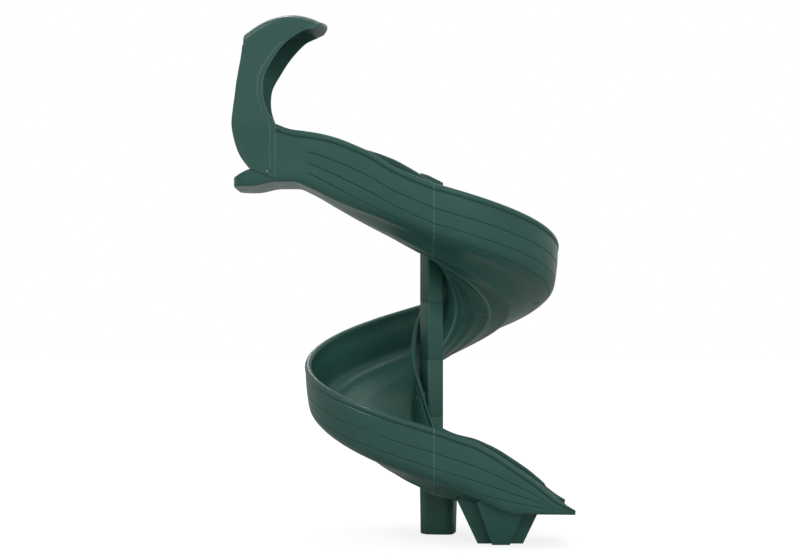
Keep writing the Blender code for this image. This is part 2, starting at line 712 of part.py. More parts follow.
def rounded_square(side, corner, height):
    """Points of a square with rounded corners, its flat faces turned to the brackets."""
    points = []
    for quarter in range(4):
        for share in (0.0, 0.5, 1.0):
            turn = radians(COLUMN_TURN + 90.0 * quarter + 90.0 * share)
            middle = radians(COLUMN_TURN + 90.0 * quarter + 45.0)
            reach = (0.5 * side - corner) * sqrt(2.0)
            points.append(Vector((reach * cos(middle) + corner * cos(turn),
                                  reach * sin(middle) + corner * sin(turn), height)))
    return points


def circle(radius, height, count=12, turn=COLUMN_TURN):
    angles = [radians(turn + 45.0 + (k - 1) * 360.0 / count) for k in range(count)]
    return [Vector((radius * cos(a), radius * sin(a), height)) for a in angles]


def tube_solid(rows):
    """Closed ring-shaped solid through a loop of rings."""
    mesh = bmesh.new()
    verts = [[mesh.verts.new(p) for p in row] for row in rows]
    count = len(rows[0])
    for one, two in zip(verts, verts[1:] + verts[:1]):
        for k in range(count):
            n = (k + 1) % count
            mesh.faces.new((one[k], one[n], two[n], two[k]))
    finish_mesh(mesh)
    return mesh


SLEEVE_HEIGHT = (DECK_HEIGHT + FIRST_SEAM_RIM - LAST_SEAM_RIM) / SECTIONS
COLUMN_TOP = COLUMN_FOOT + SLEEVES * SLEEVE_HEIGHT
BORE = POST_RADIUS + POST_CLEARANCE


def make_sleeve(index):
    """Hollow spacer round the post, closed at both ends but for the post's hole."""
    low = COLUMN_FOOT + index * SLEEVE_HEIGHT + GAP * 0.5
    high = COLUMN_FOOT + (index + 1) * SLEEVE_HEIGHT - GAP * 0.5
    inner_side = COLUMN_SIDE - 2.0 * COLUMN_WALL
    inner_corner = COLUMN_CORNER - COLUMN_WALL
    rows = [rounded_square(COLUMN_SIDE, COLUMN_CORNER, low),
            rounded_square(COLUMN_SIDE, COLUMN_CORNER, high),
            circle(BORE, high), circle(BORE, high - COLUMN_END_PLATE),
            rounded_square(inner_side, inner_corner, high - COLUMN_END_PLATE),
            rounded_square(inner_side, inner_corner, low + COLUMN_END_PLATE),
            circle(BORE, low + COLUMN_END_PLATE), circle(BORE, low)]
    item = add_object("column_sleeve_%d" % (index + 1), tube_solid(rows))
    cutter = bmesh.new()
    holes = 0
    for k in range(SECTIONS):
        matrix = hub_bolt_frame(k)
        if low < matrix.translation.z < high:
            turned_solid(cutter, hole_profile(HOLE_RADIUS, 0.12, HOLE_RADIUS, 0.0), matrix)
            holes += 1
    if holes:
        cut(item, cutter)
    else:
        cutter.free()


def make_cap():
    """Top of the column: an open cup with a slanted edge."""
    low = COLUMN_TOP + GAP * 0.5
    floor = low + CAP_FLOOR
    reach = 0.5 * COLUMN_SIDE * sqrt(2.0)

    def slanted(side, corner):
        middle = low + 0.5 * (CAP_LOW + CAP_HIGH)
        slope = 0.5 * (CAP_HIGH - CAP_LOW) / reach
        return [Vector((p.x, p.y, middle - p.x * slope)) for p in rounded_square(side, corner, 0.0)]

    inner_side = COLUMN_SIDE - 2.0 * COLUMN_WALL
    inner_corner = COLUMN_CORNER - COLUMN_WALL
    hole = HOLE_RADIUS
    rows = [rounded_square(COLUMN_SIDE, COLUMN_CORNER, low), slanted(COLUMN_SIDE, COLUMN_CORNER),
            slanted(inner_side, inner_corner), rounded_square(inner_side, inner_corner, floor),
            circle(hole, floor), circle(hole, low)]
    add_object("column_cap", tube_solid(rows))


def make_post():
    """Steel tube through the sleeves, with a plug in its top that takes the cap's bolt."""
    top = COLUMN_TOP - GAP * 0.5
    bore = POST_RADIUS - POST_WALL
    rows = [circle(POST_RADIUS, POST_SOCKET + GAP), circle(POST_RADIUS, top),
            circle(bore, top), circle(bore, POST_SOCKET + GAP)]
    item = add_object("centre_post", tube_solid(rows), metal=True)
    cutter = bmesh.new()
    for k in range(SECTIONS):
        turned_solid(cutter, hole_profile(HOLE_RADIUS, HUB_RADIUS + WALL, HOLE_RADIUS, 0.0),
                     hub_bolt_frame(k))
    cut(item, cutter)
    plug = bore - GAP * 1.1
    rows = [circle(plug, top - PLUG_HEIGHT), circle(plug, top), circle(BOLT_RADIUS + GAP, top),
            circle(BOLT_RADIUS + GAP, top - PLUG_HEIGHT)]
    add_object("post_top_plug", tube_solid(rows), metal=True)
    seat = Matrix.Translation((0.0, 0.0, COLUMN_TOP + GAP * 0.5 + CAP_FLOOR + GAP))
    add_turned("column_cap_bolt", bolt_profile(BOLT_RADIUS, TOP_BOLT_LENGTH, HEAD_RADIUS,
                                               HEAD_HEIGHT), seat)


def rounded_plan(corners, height, scale=1.0):
    """Closed plan with each corner replaced by a short arc."""
    points = []
    count = len(corners)
    for k in range(count):
        here = Vector(corners[k][:2])
        for neighbour in (corners[k - 1], corners[(k + 1) % count]):
            way = Vector(neighbour[:2]) - here
            points.append(here + way.normalized() * min(corners[k][2], way.length * 0.45))
        points.insert(-1, (points[-2] + points[-1] + here * 2.0) / 4.0)
    return [Vector((p.x * scale, p.y * scale, height)) for p in points]


def make_leg():
    """Moulded leg under the column, with a socket for the post."""
    top = COLUMN_FOOT - GAP * 0.5
    item = add_object("column_leg", prism([rounded_plan(LEG_PLAN, 0.0, LEG_TAPER),
                                           rounded_plan(LEG_PLAN, top)]))
    cut(item, prism([circle(BORE, POST_SOCKET), circle(BORE, top + 0.05)]))


def underside_block(stations):
    """Everything above the trough's underside, a gap below it, to trim what bears on it."""
    rings = []
    for station in stations:
        outer = [place(station, pair[0][0], pair[0][1] - GAP) for pair in section(station)]
        top = [place(station, HUB_RADIUS, 1.0), place(station, OUTER_RADIUS, 1.0)]
        rings.append(outer[4:-4] + top)
    return prism(rings)


def foot_middle():
    return -0.5 * (OUTER_RADIUS + HUB_RADIUS)


def make_foot():
    """Cross-shaped tapered foot under the exit, trimmed to the trough's underside."""
    high = FOOT_TAPER_HEIGHT

    def cross(long, arm, front, wide, height):
        a, b, c, d = 0.5 * long, 0.5 * wide, 0.5 * front, 0.5 * arm
        plan = ((a, -d), (a, d), (b, d), (b, c), (-b, c), (-b, d), (-a, d), (-a, -d), (-b, -d),
                (-b, -c), (b, -c), (b, -d))
        return [Vector((FOOT_X + x, foot_middle() + y, height)) for x, y in plan]

    bottom = cross(FOOT_LONG, FOOT_ARM, FOOT_FRONT, FOOT_WIDE, 0.0)
    level = cross(FOOT_TOP_LONG, FOOT_TOP_ARM, FOOT_TOP_FRONT, FOOT_TOP_WIDE, high)
    reach = [low + (up - low) * FOOT_OVERRUN for low, up in zip(bottom, level)]
    rings = [bottom, reach]
    item = add_object("exit_foot", prism(rings))
    cut(item, underside_block(exit_stations()[:-1]))
    holes = bmesh.new()
    for matrix in foot_screw_frames():
        turned_solid(holes, hole_profile(BOLT_RADIUS + GAP, FOOT_SCREW_LENGTH + GAP,
                                         BOLT_RADIUS + GAP, 0.0), matrix)
    cut(item, holes)


def foot_screw_frames():
    """On the slide's floor above the foot."""
    return [floor_frame(EXIT_STATION + on * STATIONS_PER_METRE) for on in FOOT_SCREW_PLACES]


def floor_frame(station):
    """Upright frame on the inner floor over the middle of the foot."""
    pairs = section(station)
    r = -foot_middle()
    for (a, b) in zip(pairs, pairs[1:]):
        if RIM_PAIRS < pairs.index(a) and a[1][0] >= r >= b[1][0]:
            share = (a[1][0] - r) / (a[1][0] - b[1][0])
            return Matrix.Translation(place(station, r, a[1][1] + (b[1][1] - a[1][1]) * share))
    raise ValueError("no floor there")


def make_bracket(index):
    """Saddle between a flat face of the column and the wall of a section."""
    station = bracket_station(index)
    step = body_stations(SEAMS[0], SEAMS[1])[1] - body_stations(SEAMS[0], SEAMS[1])[0]
    offsets = [(k - 1.5) * step for k in range(4)]
    flat = 0.5 * COLUMN_SIDE + GAP
    height = outer_rim(station) - BRACKET_DROP
    out = Vector((cos(radians(station)), sin(radians(station)), 0.0))
    side = Vector((-out.y, out.x, 0.0))
    reach = HUB_RADIUS - GAP
    plan = [out * (reach * cos(radians(o))) + side * (reach * sin(radians(o))) for o in offsets]
    width = plan[-1].dot(side)
    plan += [out * flat + side * width, out * flat - side * width]
    up = Vector((0.0, 0.0, 1.0))
    rings = [[p + up * (height + h) for p in plan] for h in (-0.5 * BRACKET_HEIGHT,
                                                            0.5 * BRACKET_HEIGHT)]
    item = add_object("hub_bracket_%d" % (index + 1), prism(rings))
    cutter = bmesh.new()
    turned_solid(cutter, hole_profile(HOLE_RADIUS, 0.12, HOLE_RADIUS, 0.0), hub_bolt_frame(index))
    cut(item, cutter)


def add_turned(name, profile, matrix):
    """One turned steel fastener as its own object."""
    mesh = bmesh.new()
    turned_solid(mesh, profile, matrix)
    add_object(name, mesh, metal=True)


def add_bolt(name, radius, length, head_radius, matrix):
    """Bolt or screw whose head fills its recess, a gap above the recess's floor."""
    seat = Matrix.Translation((0.0, 0.0, GAP - RECESS_DEPTH))
    add_turned(name, bolt_profile(radius, length, head_radius, RECESS_DEPTH), matrix @ seat)


def add_nut(name, matrix, thick):
    """Nut in the recess on the far face of a wall."""
    far = -thick + RECESS_DEPTH - GAP
    bore = BOLT_RADIUS + GAP
    add_turned(name, ((bore, far), (NUT_RADIUS, far), (NUT_RADIUS, far - RECESS_DEPTH),
                      (bore, far - RECESS_DEPTH)), matrix)


def make_fasteners():
    """Bolts, nuts and screws, numbered from the top down."""
    for number, seam in enumerate(SEAMS, 1):
        matrix, thick = corner_bolt_frame(seam)
        add_bolt("seam_bolt_%d" % number, BOLT_RADIUS, thick - RECESS_DEPTH, HEAD_RADIUS, matrix)
        add_nut("seam_nut_%d" % number, matrix, thick)
        add_bolt("rim_screw_%d" % number, RIM_SCREW_RADIUS, RIM_SCREW_LENGTH - RECESS_DEPTH,
                 RIM_HEAD_RADIUS, rim_screw_frame(seam))
    length = HUB_RADIUS + WALL - RECESS_DEPTH - POST_RADIUS + 3.0 * POST_WALL
    for index in range(SECTIONS):
        add_bolt("hub_bolt_%d" % (index + 1), BOLT_RADIUS, length, HEAD_RADIUS, hub_bolt_frame(index))
    for side, matrix in zip(("near", "far"), hood_bolt_frames()):
        add_bolt("hood_bolt_" + side, BOLT_RADIUS, HOOD_STACK - RECESS_DEPTH, HEAD_RADIUS, matrix)
        add_nut("hood_nut_" + side, matrix, HOOD_STACK)
    for number, matrix in enumerate(foot_screw_frames(), 1):
        add_bolt("exit_foot_screw_%d" % number, BOLT_RADIUS, FOOT_SCREW_LENGTH - 2.0 * RECESS_DEPTH,
                 HEAD_RADIUS, matrix)


def clear_scene():
    for item in list(bpy.context.scene.objects):
        bpy.data.objects.remove(item, do_unlink=True)


def build():
    clear_scene()
    make_entry()
    make_hood()
    for index in range(SECTIONS):
        make_spiral_section(index)
    make_exit()
    make_foot()
    make_leg()
    for index in range(SLEEVES):
        make_sleeve(index)
    make_cap()
    make_post()
    for index in range(SECTIONS):
        make_bracket(index)
    make_fasteners()


build()
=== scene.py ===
"""Looks of the spiral slide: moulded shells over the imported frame, a pale floor, soft light."""
from math import acos, cos, degrees, exp, pi, radians, sin, sqrt

import bmesh
import bpy
from mathutils import Matrix, Vector


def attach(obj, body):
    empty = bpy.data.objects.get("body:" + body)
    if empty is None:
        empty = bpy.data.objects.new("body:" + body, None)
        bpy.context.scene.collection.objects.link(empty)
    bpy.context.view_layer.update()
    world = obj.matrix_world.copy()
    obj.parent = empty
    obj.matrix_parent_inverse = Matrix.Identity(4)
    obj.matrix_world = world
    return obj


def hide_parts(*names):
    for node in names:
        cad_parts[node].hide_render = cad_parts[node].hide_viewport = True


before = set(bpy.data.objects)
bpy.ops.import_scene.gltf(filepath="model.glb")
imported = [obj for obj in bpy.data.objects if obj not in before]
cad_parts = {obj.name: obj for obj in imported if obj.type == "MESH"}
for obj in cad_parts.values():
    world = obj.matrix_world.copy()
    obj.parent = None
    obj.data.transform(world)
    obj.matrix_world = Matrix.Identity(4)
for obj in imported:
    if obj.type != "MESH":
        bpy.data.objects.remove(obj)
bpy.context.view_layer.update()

# Sizes and outlines of the CAD model, in metres
GAP = 0.0003
DECK_HEIGHT = 2.134
FIRST_SEAM_RIM = -0.009
LAST_SEAM_RIM = 0.705
ENTRY_STATION, EXIT_STATION = -90.0, 270.0
STATIONS_PER_METRE = 100.0
OUTER_RADIUS, HUB_RADIUS = 0.79, 0.10
MIDDLE = 0.5 * (OUTER_RADIUS + HUB_RADIUS)
DEPTH, WALL = 0.420, 0.012
OUTER_ROLL, INNER_ROLL = 0.022, 0.014
SKIN_SET = 0.006
RIM_GROUP = 0.060
ENTRY_LENGTH, HOOD_SEAM = 1.17, 0.92
SILL_CORNER, SILL_FLAT, SILL_THICK = 0.087, 0.10, 0.025
CURB_EDGE = 0.020
EXIT_LENGTH, EXIT_FLOOR, EXIT_TIP_HEIGHT = 0.82, 0.197, 0.030
EXIT_FLATTENS = (0.15, 0.62)
HOOD_WALL, HOOD_SHOULDER, HOOD_CROWN = 0.010, 0.055, 0.050
HOOD_LEAN, HOOD_SEAM_GAP, HOOD_ROOF_FALL = 0.085, 0.0013, 0.65
COLUMN_SIDE, COLUMN_CORNER, COLUMN_WALL, COLUMN_FOOT = 0.112, 0.013, 0.008, 0.379
SLEEVES = 5
POST_BORE = 0.0306
CAP_LOW, CAP_HIGH, CAP_FLOOR, CAP_BORE = 0.028, 0.100, 0.016, 0.0045
LEG_PLAN = ((-0.075, 0.022, 0.02), (-0.036, -0.045, 0.02), (0.092, -0.066, 0.03),
            (0.140, -0.052, 0.02), (0.172, 0.095, 0.03), (0.060, 0.225, 0.05),
            (-0.070, 0.160, 0.03))
LEG_TAPER = 0.92
LAP_ANGLE, FACET_ANGLE = 5.0, 9.0
ENTRY_RIM = ((1.0, 0.335), (0.902, 0.303), (0.821, 0.293), (0.717, 0.278), (0.609, 0.252),
             (0.511, 0.217), (0.402, 0.171), (0.261, 0.092), (0.130, 0.038), (0.0, FIRST_SEAM_RIM))
ENTRY_UNDERSIDE = ((1.0, 0.0), (0.891, 0.0), (0.793, -0.035), (0.641, -0.118), (0.489, -0.200),
                   (0.337, -0.274), (0.196, -0.340), (0.0, FIRST_SEAM_RIM - DEPTH))
CURB = ((0.0, 0.160), (0.40, 0.120), (0.72, 0.088), (1.0, 0.052))
EXIT_RIM = ((0.0, LAST_SEAM_RIM), (0.146, 0.664), (0.293, 0.622), (0.439, 0.556), (0.573, 0.482),
            (0.720, 0.400), (0.854, 0.310), (0.951, 0.250), (1.0, EXIT_FLOOR + EXIT_TIP_HEIGHT))
EXIT_UNDERSIDE = ((0.0, LAST_SEAM_RIM - DEPTH), (0.171, 0.243), (0.366, 0.212),
                  (0.610, EXIT_FLOOR), (1.0, EXIT_FLOOR))
HOOD_REAR = ((0.620, 0.078), (0.816, 0.146), (0.940, 0.226), (1.012, 0.326), (0.988, 0.406),
             (0.944, 0.486), (0.904, 0.566), (0.856, 0.636), (0.812, 0.696), (0.780, 0.746),
             (0.760, 0.786))
HOOD_FRONT = ((0.0, 0.021), (0.0, 0.110), (0.0, 0.225), (0.0, 0.338), (0.040, 0.401),
              (0.066, 0.476), (0.072, 0.551), (0.060, 0.622), (0.020, 0.696), (-0.052, 0.796),
              (-0.165, 0.873))
HOOD_FRONT_FAR = HOOD_FRONT[:-2] + ((-0.052, 0.806), (-0.140, 0.900))
HOOD_LIP = ((-1.0, -0.262), (-0.8, -0.285), (-0.5, -0.295), (0.0, -0.290), (0.5, -0.265),
            (0.8, -0.235), (1.0, -0.200))
HOOD_LIP_RISE = ((-1.0, -0.004), (-0.5, 0.0), (0.5, 0.015), (1.0, 0.038))
HOOD_ROOF_REAR = (0.744, 0.789)
HOOD_VISOR_HEIGHT = 0.893
HOOD_ROOF_BULGE = 0.075
SPIRAL_BED = ((0.010, 0.093), (0.023, 0.349), (0.045, 0.571), (0.085, 0.668), (0.15, 0.750),
              (0.24, 0.800), (0.36, 0.885), (0.494, 0.967), (0.657, 1.0), (0.793, 0.986),
              (0.90, 0.934), (0.963, 0.854), (0.992, 0.731), (1.0, 0.50))
SILL_BED = ((0.010, 0.093), (0.018, 0.400), (0.028, 0.800), (0.045, 0.950), (0.090, 1.0),
            (0.24, 1.0), (0.36, 1.0), (0.494, 1.0), (0.657, 1.0), (0.793, 1.0),
            (0.90, 1.0), (0.955, 0.970), (0.990, 0.850), (1.0, 0.50))
INNER_RISE = ((-182.0, 0.0), (-150.0, 0.020), (-128.0, 0.065), (-112.0, 0.100), (-100.0, 0.085),
              (-90.0, 0.062), (-40.0, 0.065), (180.0, 0.080), (225.0, 0.085), (250.0, 0.045),
              (270.0, -0.005), (285.0, -0.025), (301.0, -0.004), (317.0, 0.014), (334.0, 0.014),
              (352.0, 0.0))
SPIRAL_SWELL = ((-90.0, 0.0), (-45.0, 0.010), (0.0, 0.019), (60.0, 0.036), (110.0, 0.040),
                (135.0, 0.036), (156.0, 0.026), (180.0, 0.014), (225.0, 0.004), (270.0, 0.0))
SEAMS = (-90.0, 0.0, 90.0, 180.0, 270.0)

# Moulded detail that the solids leave out. A ridge is (radius, height, width of its flank).
GROOVES = (0.100, 0.190, 0.268)    # lines along the outer wall, below the rim's groove
GROOVE_DEPTH, GROOVE_HALF = 0.0032, 0.0050
BED_RUNS = (6, 6, 5, 74)           # even steps between the grooves and on to the hub
RIDGES = ((0.150, 0.007, 0.012), (0.200, 0.010, 0.016), (0.270, 0.013, 0.020),
          (0.365, 0.014, 0.024), (0.480, 0.014, 0.028))
# Width and strength of the painted highlight along each ridge's crest
CREST_HALF, CREST_PAINTED_HIGHLIGHT = 0.007, 1.6
FLUTES = (0.085, 0.120, 0.160)     # creases on the slide side of the hub wall, below its rim
FLUTE_DEPTH, FLUTE_WIDTH = 0.004, 0.008
SEAM_BEVEL = 0.0015
RIM_STEPS, RIM_GROOVE = 16, 0.003
WALL_FILL, HUB_FILL = 0.025, 0.014  # soft slope under the rims on the slide side
HOOD_BAND, HOOD_BAND_RISE = 0.031, 0.005
EDGE_ROUND, EDGE_REACH = 0.004, 0.006
FOOT_EDGE = 0.006
BOLT_HEAD, BOLT_SHANK = 0.0125, 0.004
SCREW_HEAD, SCREW_SHANK = 0.0078, 0.0025
SEAM_DISH, HUB_DISH, SCREW_DISH = 0.018, 0.0145, 0.0095


# Colours, light and camera
GREEN, ZINC = (0.025, 0.080, 0.065), (0.13, 0.17, 0.16)
# Colour of the painted highlights along seam edges, ridge crests and the hood's band
PAINTED_HIGHLIGHT_GREEN = (0.16, 0.26, 0.23, 1.0)
# Darkest painted shade, as a share of colour and gloss, in grooves, under the rim and inside the
# hood
DARKEST_PAINTED_SHADE, GRAZING_SHEEN = 0.62, 0.12
FLOOR_HALF, FLOOR_DROP = 60.0, 0.001
FLOOR_GREY, SEEN_GREY, SEEN_LIFT = 0.72, 0.34, 0.80
WORLD_LIGHT = 0.46
# Name, strength, angle in degrees, direction; the fill shows in no gloss, the glints only there
LAMPS = (("fill", 1.72, 60.0, (-0.32, 0.94, -0.06)),
         ("front_left", 0.22, 12.0, (0.42, 0.80, -0.40)),
         ("front_right", 0.22, 12.0, (-0.45, 0.80, -0.34)),
         ("top", 0.55, 24.0, (-0.1, -0.20, -0.97)),
         ("rim", 0.40, 12.0, (0.50, 0.25, -0.83)),
         ("glint_left", 0.9, 10.0, (0.50, 0.25, -0.83)),
         ("glint_back", 0.3, 10.0, (0.12, -0.80, -0.55)))
LENS, LENS_SHIFT = 80.0, 0.05625
CAMERA_PLACE = (-0.197, -11.08, 1.301)


def smooth(keys, place):
    """Height at a place on a smooth curve through a few (place, height) points."""
    points = sorted(keys)
    if place <= points[0][0]:
        return points[0][1]
    if place >= points[-1][0]:
        return points[-1][1]
    last = len(points) - 1
    i = max(k for k in range(last) if points[k][0] <= place)
    slopes = [(points[k + 1][1] - points[k][1]) / (points[k + 1][0] - points[k][0])
              for k in range(last)]

    def tangent(k):
        if k in (0, last):
            return slopes[min(k, last - 1)]
        if slopes[k - 1] * slopes[k] <= 0.0:
            return 0.0
        return 2.0 * slopes[k - 1] * slopes[k] / (slopes[k - 1] + slopes[k])

    run = points[i + 1][0] - points[i][0]
    t = (place - points[i][0]) / run
    return ((2 * t ** 3 - 3 * t ** 2 + 1) * points[i][1]
            + (t ** 3 - 2 * t ** 2 + t) * run * tangent(i)
            + (3 * t ** 2 - 2 * t ** 3) * points[i + 1][1]
            + (t ** 3 - t ** 2) * run * tangent(i + 1))


def blend(low, high, value):
    t = min(1.0, max(0.0, (value - low) / (high - low)))
    return t * t * (3.0 - 2.0 * t)


def entry_back(station):
    return (ENTRY_STATION - station) / STATIONS_PER_METRE


def exit_on(station):
    return (station - EXIT_STATION) / STATIONS_PER_METRE


def place(station, radius, height):
    if station < ENTRY_STATION:
        return Vector((-entry_back(station), -radius, height))
    if station > EXIT_STATION:
        return Vector((exit_on(station), -radius, height))
    return Vector((radius * cos(radians(station)), radius * sin(radians(station)), height))


def outer_rim(station):
    if station <= ENTRY_STATION:
        return DECK_HEIGHT + smooth(ENTRY_RIM, entry_back(station) / HOOD_SEAM)
    if station >= EXIT_STATION:
        return smooth(EXIT_RIM, exit_on(station) / EXIT_LENGTH)
    first = DECK_HEIGHT + FIRST_SEAM_RIM
    share = (station - ENTRY_STATION) / (EXIT_STATION - ENTRY_STATION)
    return first + (LAST_SEAM_RIM - first) * share + smooth(SPIRAL_SWELL, station)


def underside(station):
    if station <= ENTRY_STATION:
        back = entry_back(station)
        fall = SILL_THICK * blend(HOOD_SEAM, ENTRY_LENGTH - SILL_FLAT, back)
        return DECK_HEIGHT + smooth(ENTRY_UNDERSIDE, back / HOOD_SEAM) - fall
    if station >= EXIT_STATION:
        return smooth(EXIT_UNDERSIDE, exit_on(station) / EXIT_LENGTH)
    return outer_rim(station) - DEPTH


def catmull(points, per):
    """Smooth curve through points, with a few steps between each two."""
    line = []
    for k in range(len(points) - 1):
        p1, p2 = points[k], points[k + 1]
        p0 = points[k - 1] if k else p1 * 2.0 - p2
        p3 = points[k + 2] if k + 2 < len(points) else p2 * 2.0 - p1
        chord = (p2 - p1).length
        m1 = (p2 - p0) * (chord / max((p1 - p0).length + chord, 1e-9))
        m2 = (p3 - p1) * (chord / max((p3 - p2).length + chord, 1e-9))
        for j in range(per):
            t = j / per
            line.append((2 * t ** 3 - 3 * t ** 2 + 1) * p1 + (t ** 3 - 2 * t ** 2 + t) * m1
                        + (3 * t ** 2 - 2 * t ** 3) * p2 + (t ** 3 - t ** 2) * m2)
    line.append(points[-1])
    return line


def along(line, places):
    """Points at given distances along a polyline, with the distances in rising order."""
    total = [0.0]
    for a, b in zip(line, line[1:]):
        total.append(total[-1] + (b - a).length)
    found = []
    k = 0
    for s in places:
        while k < len(line) - 2 and total[k + 1] < s:
            k += 1
        span = max(total[k + 1] - total[k], 1e-12)
        found.append(line[k].lerp(line[k + 1], min(1.0, max(0.0, (s - total[k]) / span))))
    return found, total[-1]


def rim_lines(edge, top, roll, side, skin_set, wall, fill):
    """Outer and inner points over a rolled rim, from its slide side down."""
    centre = Vector((edge - side * roll, top - roll))
    last = RIM_STEPS - 1
    low_out = -degrees(acos((roll - skin_set) / roll))
    low_in = 360.0 - degrees(acos(max(-1.0, (roll - skin_set - wall) / roll)))

    def turned(angle):
        return centre + Vector((side * roll * cos(radians(angle)), roll * sin(radians(angle))))

    outer = [turned(180.0 + (low_out - 180.0) * k / last) for k in range(RIM_STEPS)]
    inner = [turned(186.0 + (low_in - 186.0) * k / last) for k in range(RIM_STEPS)]
    out_x, in_x = edge - side * skin_set, edge - side * (skin_set + wall)
    sunk = RIM_GROOVE if skin_set else 0.0
    z = outer[-1].y
    outer += [Vector((out_x - side * sunk, z - 0.002)), Vector((out_x - side * sunk, z - 0.007)),
              Vector((out_x, z - 0.011))]
    z = inner[-1].y
    inner += [Vector((in_x, z - drop)) for drop in (0.002, 0.006, 0.010)]
    if fill:
        high, low = inner[0].y, inner[-1].y
        for k, p in enumerate(inner):
            share = k / (len(inner) - 1)
            p.y = high + (low - high) * share
            p.x = inner[0].x + (in_x - side * fill - inner[0].x) * share
    return outer, inner


def bump(x, middle, height, width):
    """Height of a ridge with a fine crest."""
    return height * exp(-abs(x - middle) / width)


def bed_lines(station, start_out, end_out, top, low, wall, detail, fill):
    """Outer and inner points of the walls and floor, and the painted highlight or painted shade on
    each.

    Grooves and ridges go on the outside; a soft slope and the hub's creases on the slide side.
    """
    soft = 1.0 - blend(0.10, 0.80, entry_back(station)) if station < ENTRY_STATION else 1.0
    if station > EXIT_STATION:
        soft = 1.0 - blend(*EXIT_FLATTENS, exit_on(station) / EXIT_LENGTH)
    width = OUTER_RADIUS - HUB_RADIUS
    control = [start_out]
    for (q_spiral, f_spiral), (q_sill, f_sill) in zip(SPIRAL_BED, SILL_BED):
        q = q_sill + (q_spiral - q_sill) * soft
        f = f_sill + (f_spiral - f_sill) * soft
        control.append(Vector((OUTER_RADIUS - width * q, top + (low - top) * f)))
    control.append(end_out)
    fine = catmull(control, 14)
    length = along(fine, [0.0])[1]
    shrink = min(1.0, (top - low) / (DEPTH - RIM_GROUP))
    half = GROOVE_HALF * min(1.0, 2.0 * shrink)
    marks = [g * shrink for g in GROOVES]
    places = [0.0]
    edges = [(0.0, marks[0] - 1.6 * half)]
    for a, b in zip(marks, marks[1:]):
        edges.append((a + 1.6 * half, b - 1.6 * half))
    edges.append((marks[-1] + 1.6 * half, length))
    for n, ((a, b), run) in enumerate(zip(edges, BED_RUNS)):
        places += [a + (b - a) * k / run for k in range(1, run + 1)]
        if n < len(marks):
            places += [marks[n] + d * half for d in (-1.0, -0.5, 0.0, 0.5, 1.0, 1.6)]
    points = along(fine, places)[0]
    last = len(points) - 1
    outer, inner, painted_light = [], [], []
    for k, (p, s) in enumerate(zip(points, places)):
        way = (points[min(k + 1, last)] - points[max(k - 1, 0)]).normalized()
        if k in (0, last):
            way = Vector((0.0, -1.0 if k == 0 else 1.0))
        out = Vector((-way.y, way.x))
        cut = max(max(0.0, 1.0 - abs(s - mark) / half) for mark in marks)
        rise = -detail * GROOVE_DEPTH * cut
        crest = 0.0
        if out.y < -0.3:
            share = blend(0.3, 0.7, -out.y) * ridge_share(station)
            rise += detail * share * sum(bump(p.x, *r) for r in RIDGES)
            crest = share * max(max(0.0, 1.0 - abs(p.x - r[0]) / CREST_HALF) for r in RIDGES)
        up = length - s
        flute = FLUTE_DEPTH * ridge_share(station)
        flute *= sum(exp(-abs(up - f) / FLUTE_WIDTH) for f in FLUTES)
        outer.append(p + out * rise)
        slope = (1.0 + 0.35 * blend(0.0, 0.10, s)) * (1.0 - blend(0.10, 0.36, s))
        depth = fill * shrink * slope
        depth += HUB_FILL * shrink * (1.0 - blend(0.0, 0.045, up))
        inner.append(p - out * (wall + flute + depth))
        # Painted highlight along the ridges' crests, painted shade in the grooves
        painted_light.append((CREST_PAINTED_HIGHLIGHT * detail * crest - detail * cut, 0.0))
    return outer, inner, painted_light


def ridge_share(station):
    """How far the ridges stand out: less and less along the straight ends."""
    if station < ENTRY_STATION:
        return 1.0 - blend(0.0, 0.30, entry_back(station))
    if station > EXIT_STATION:
        return 1.0 - blend(0.0, 0.20, exit_on(station))
    return 1.0


def groove_share(station):
    """How deep the grooves are: gone before the hood's seam and toward the lip."""
    if station < ENTRY_STATION:
        return 1.0 - blend(0.72, 0.76, entry_back(station))
    if station > EXIT_STATION:
        return 1.0 - blend(0.55, 0.80, exit_on(station))
    return 1.0


def trough_lines(station):
    """Outer and inner points across the trough's wall, both from the outer rim to the hub's.

    Near the lip, where the wall is lower than its two rims, it is drawn tall and then squashed.
    """
    top, low = outer_rim(station), underside(station)
    top_in = top + smooth(INNER_RISE, station)
    thick, squash, least = WALL, 1.0, 2.0 * RIM_GROUP
    if top - low < least:
        squash = (top - low) / least
        thick = WALL * (2.0 - squash)
        top = top_in = low + least
    fill = WALL_FILL * (1.0 - blend(0.5, 1.0, entry_back(station) / HOOD_SEAM)) * squash
    out_a, in_a = rim_lines(OUTER_RADIUS, top, OUTER_ROLL, 1, SKIN_SET, thick, fill)
    out_c, in_c = rim_lines(HUB_RADIUS, top_in, INNER_ROLL, -1, 0.0, thick, HUB_FILL)
    out_b, in_b, painted_light_b = bed_lines(station, out_a[-1], out_c[-1], top - RIM_GROUP, low, thick,
                                    groove_share(station) * squash, fill)
    painted_light = [(0.0, 0.0)] * (len(out_a) - 1) + painted_light_b + [(0.0, 0.0)] * (len(out_c) - 1)
    # Painted shade in the groove under the outer rim, and fainter painted shade on the inside just
    # under the rim
    painted_light[len(out_a) - 3] = painted_light[len(out_a) - 4] = (-0.9, -0.3)
    outer = out_a[:-1] + out_b + out_c[-2::-1]
    inner = in_a[:-1] + in_b + in_c[-2::-1]
    if squash < 1.0:
        for p in outer + inner:
            p.y = low + (p.y - low) * squash
    return outer, inner, painted_light


def hood_side(height):
    return OUTER_RADIUS - HOOD_LEAN * max(0.0, DECK_HEIGHT + ENTRY_RIM[0][1] - height)


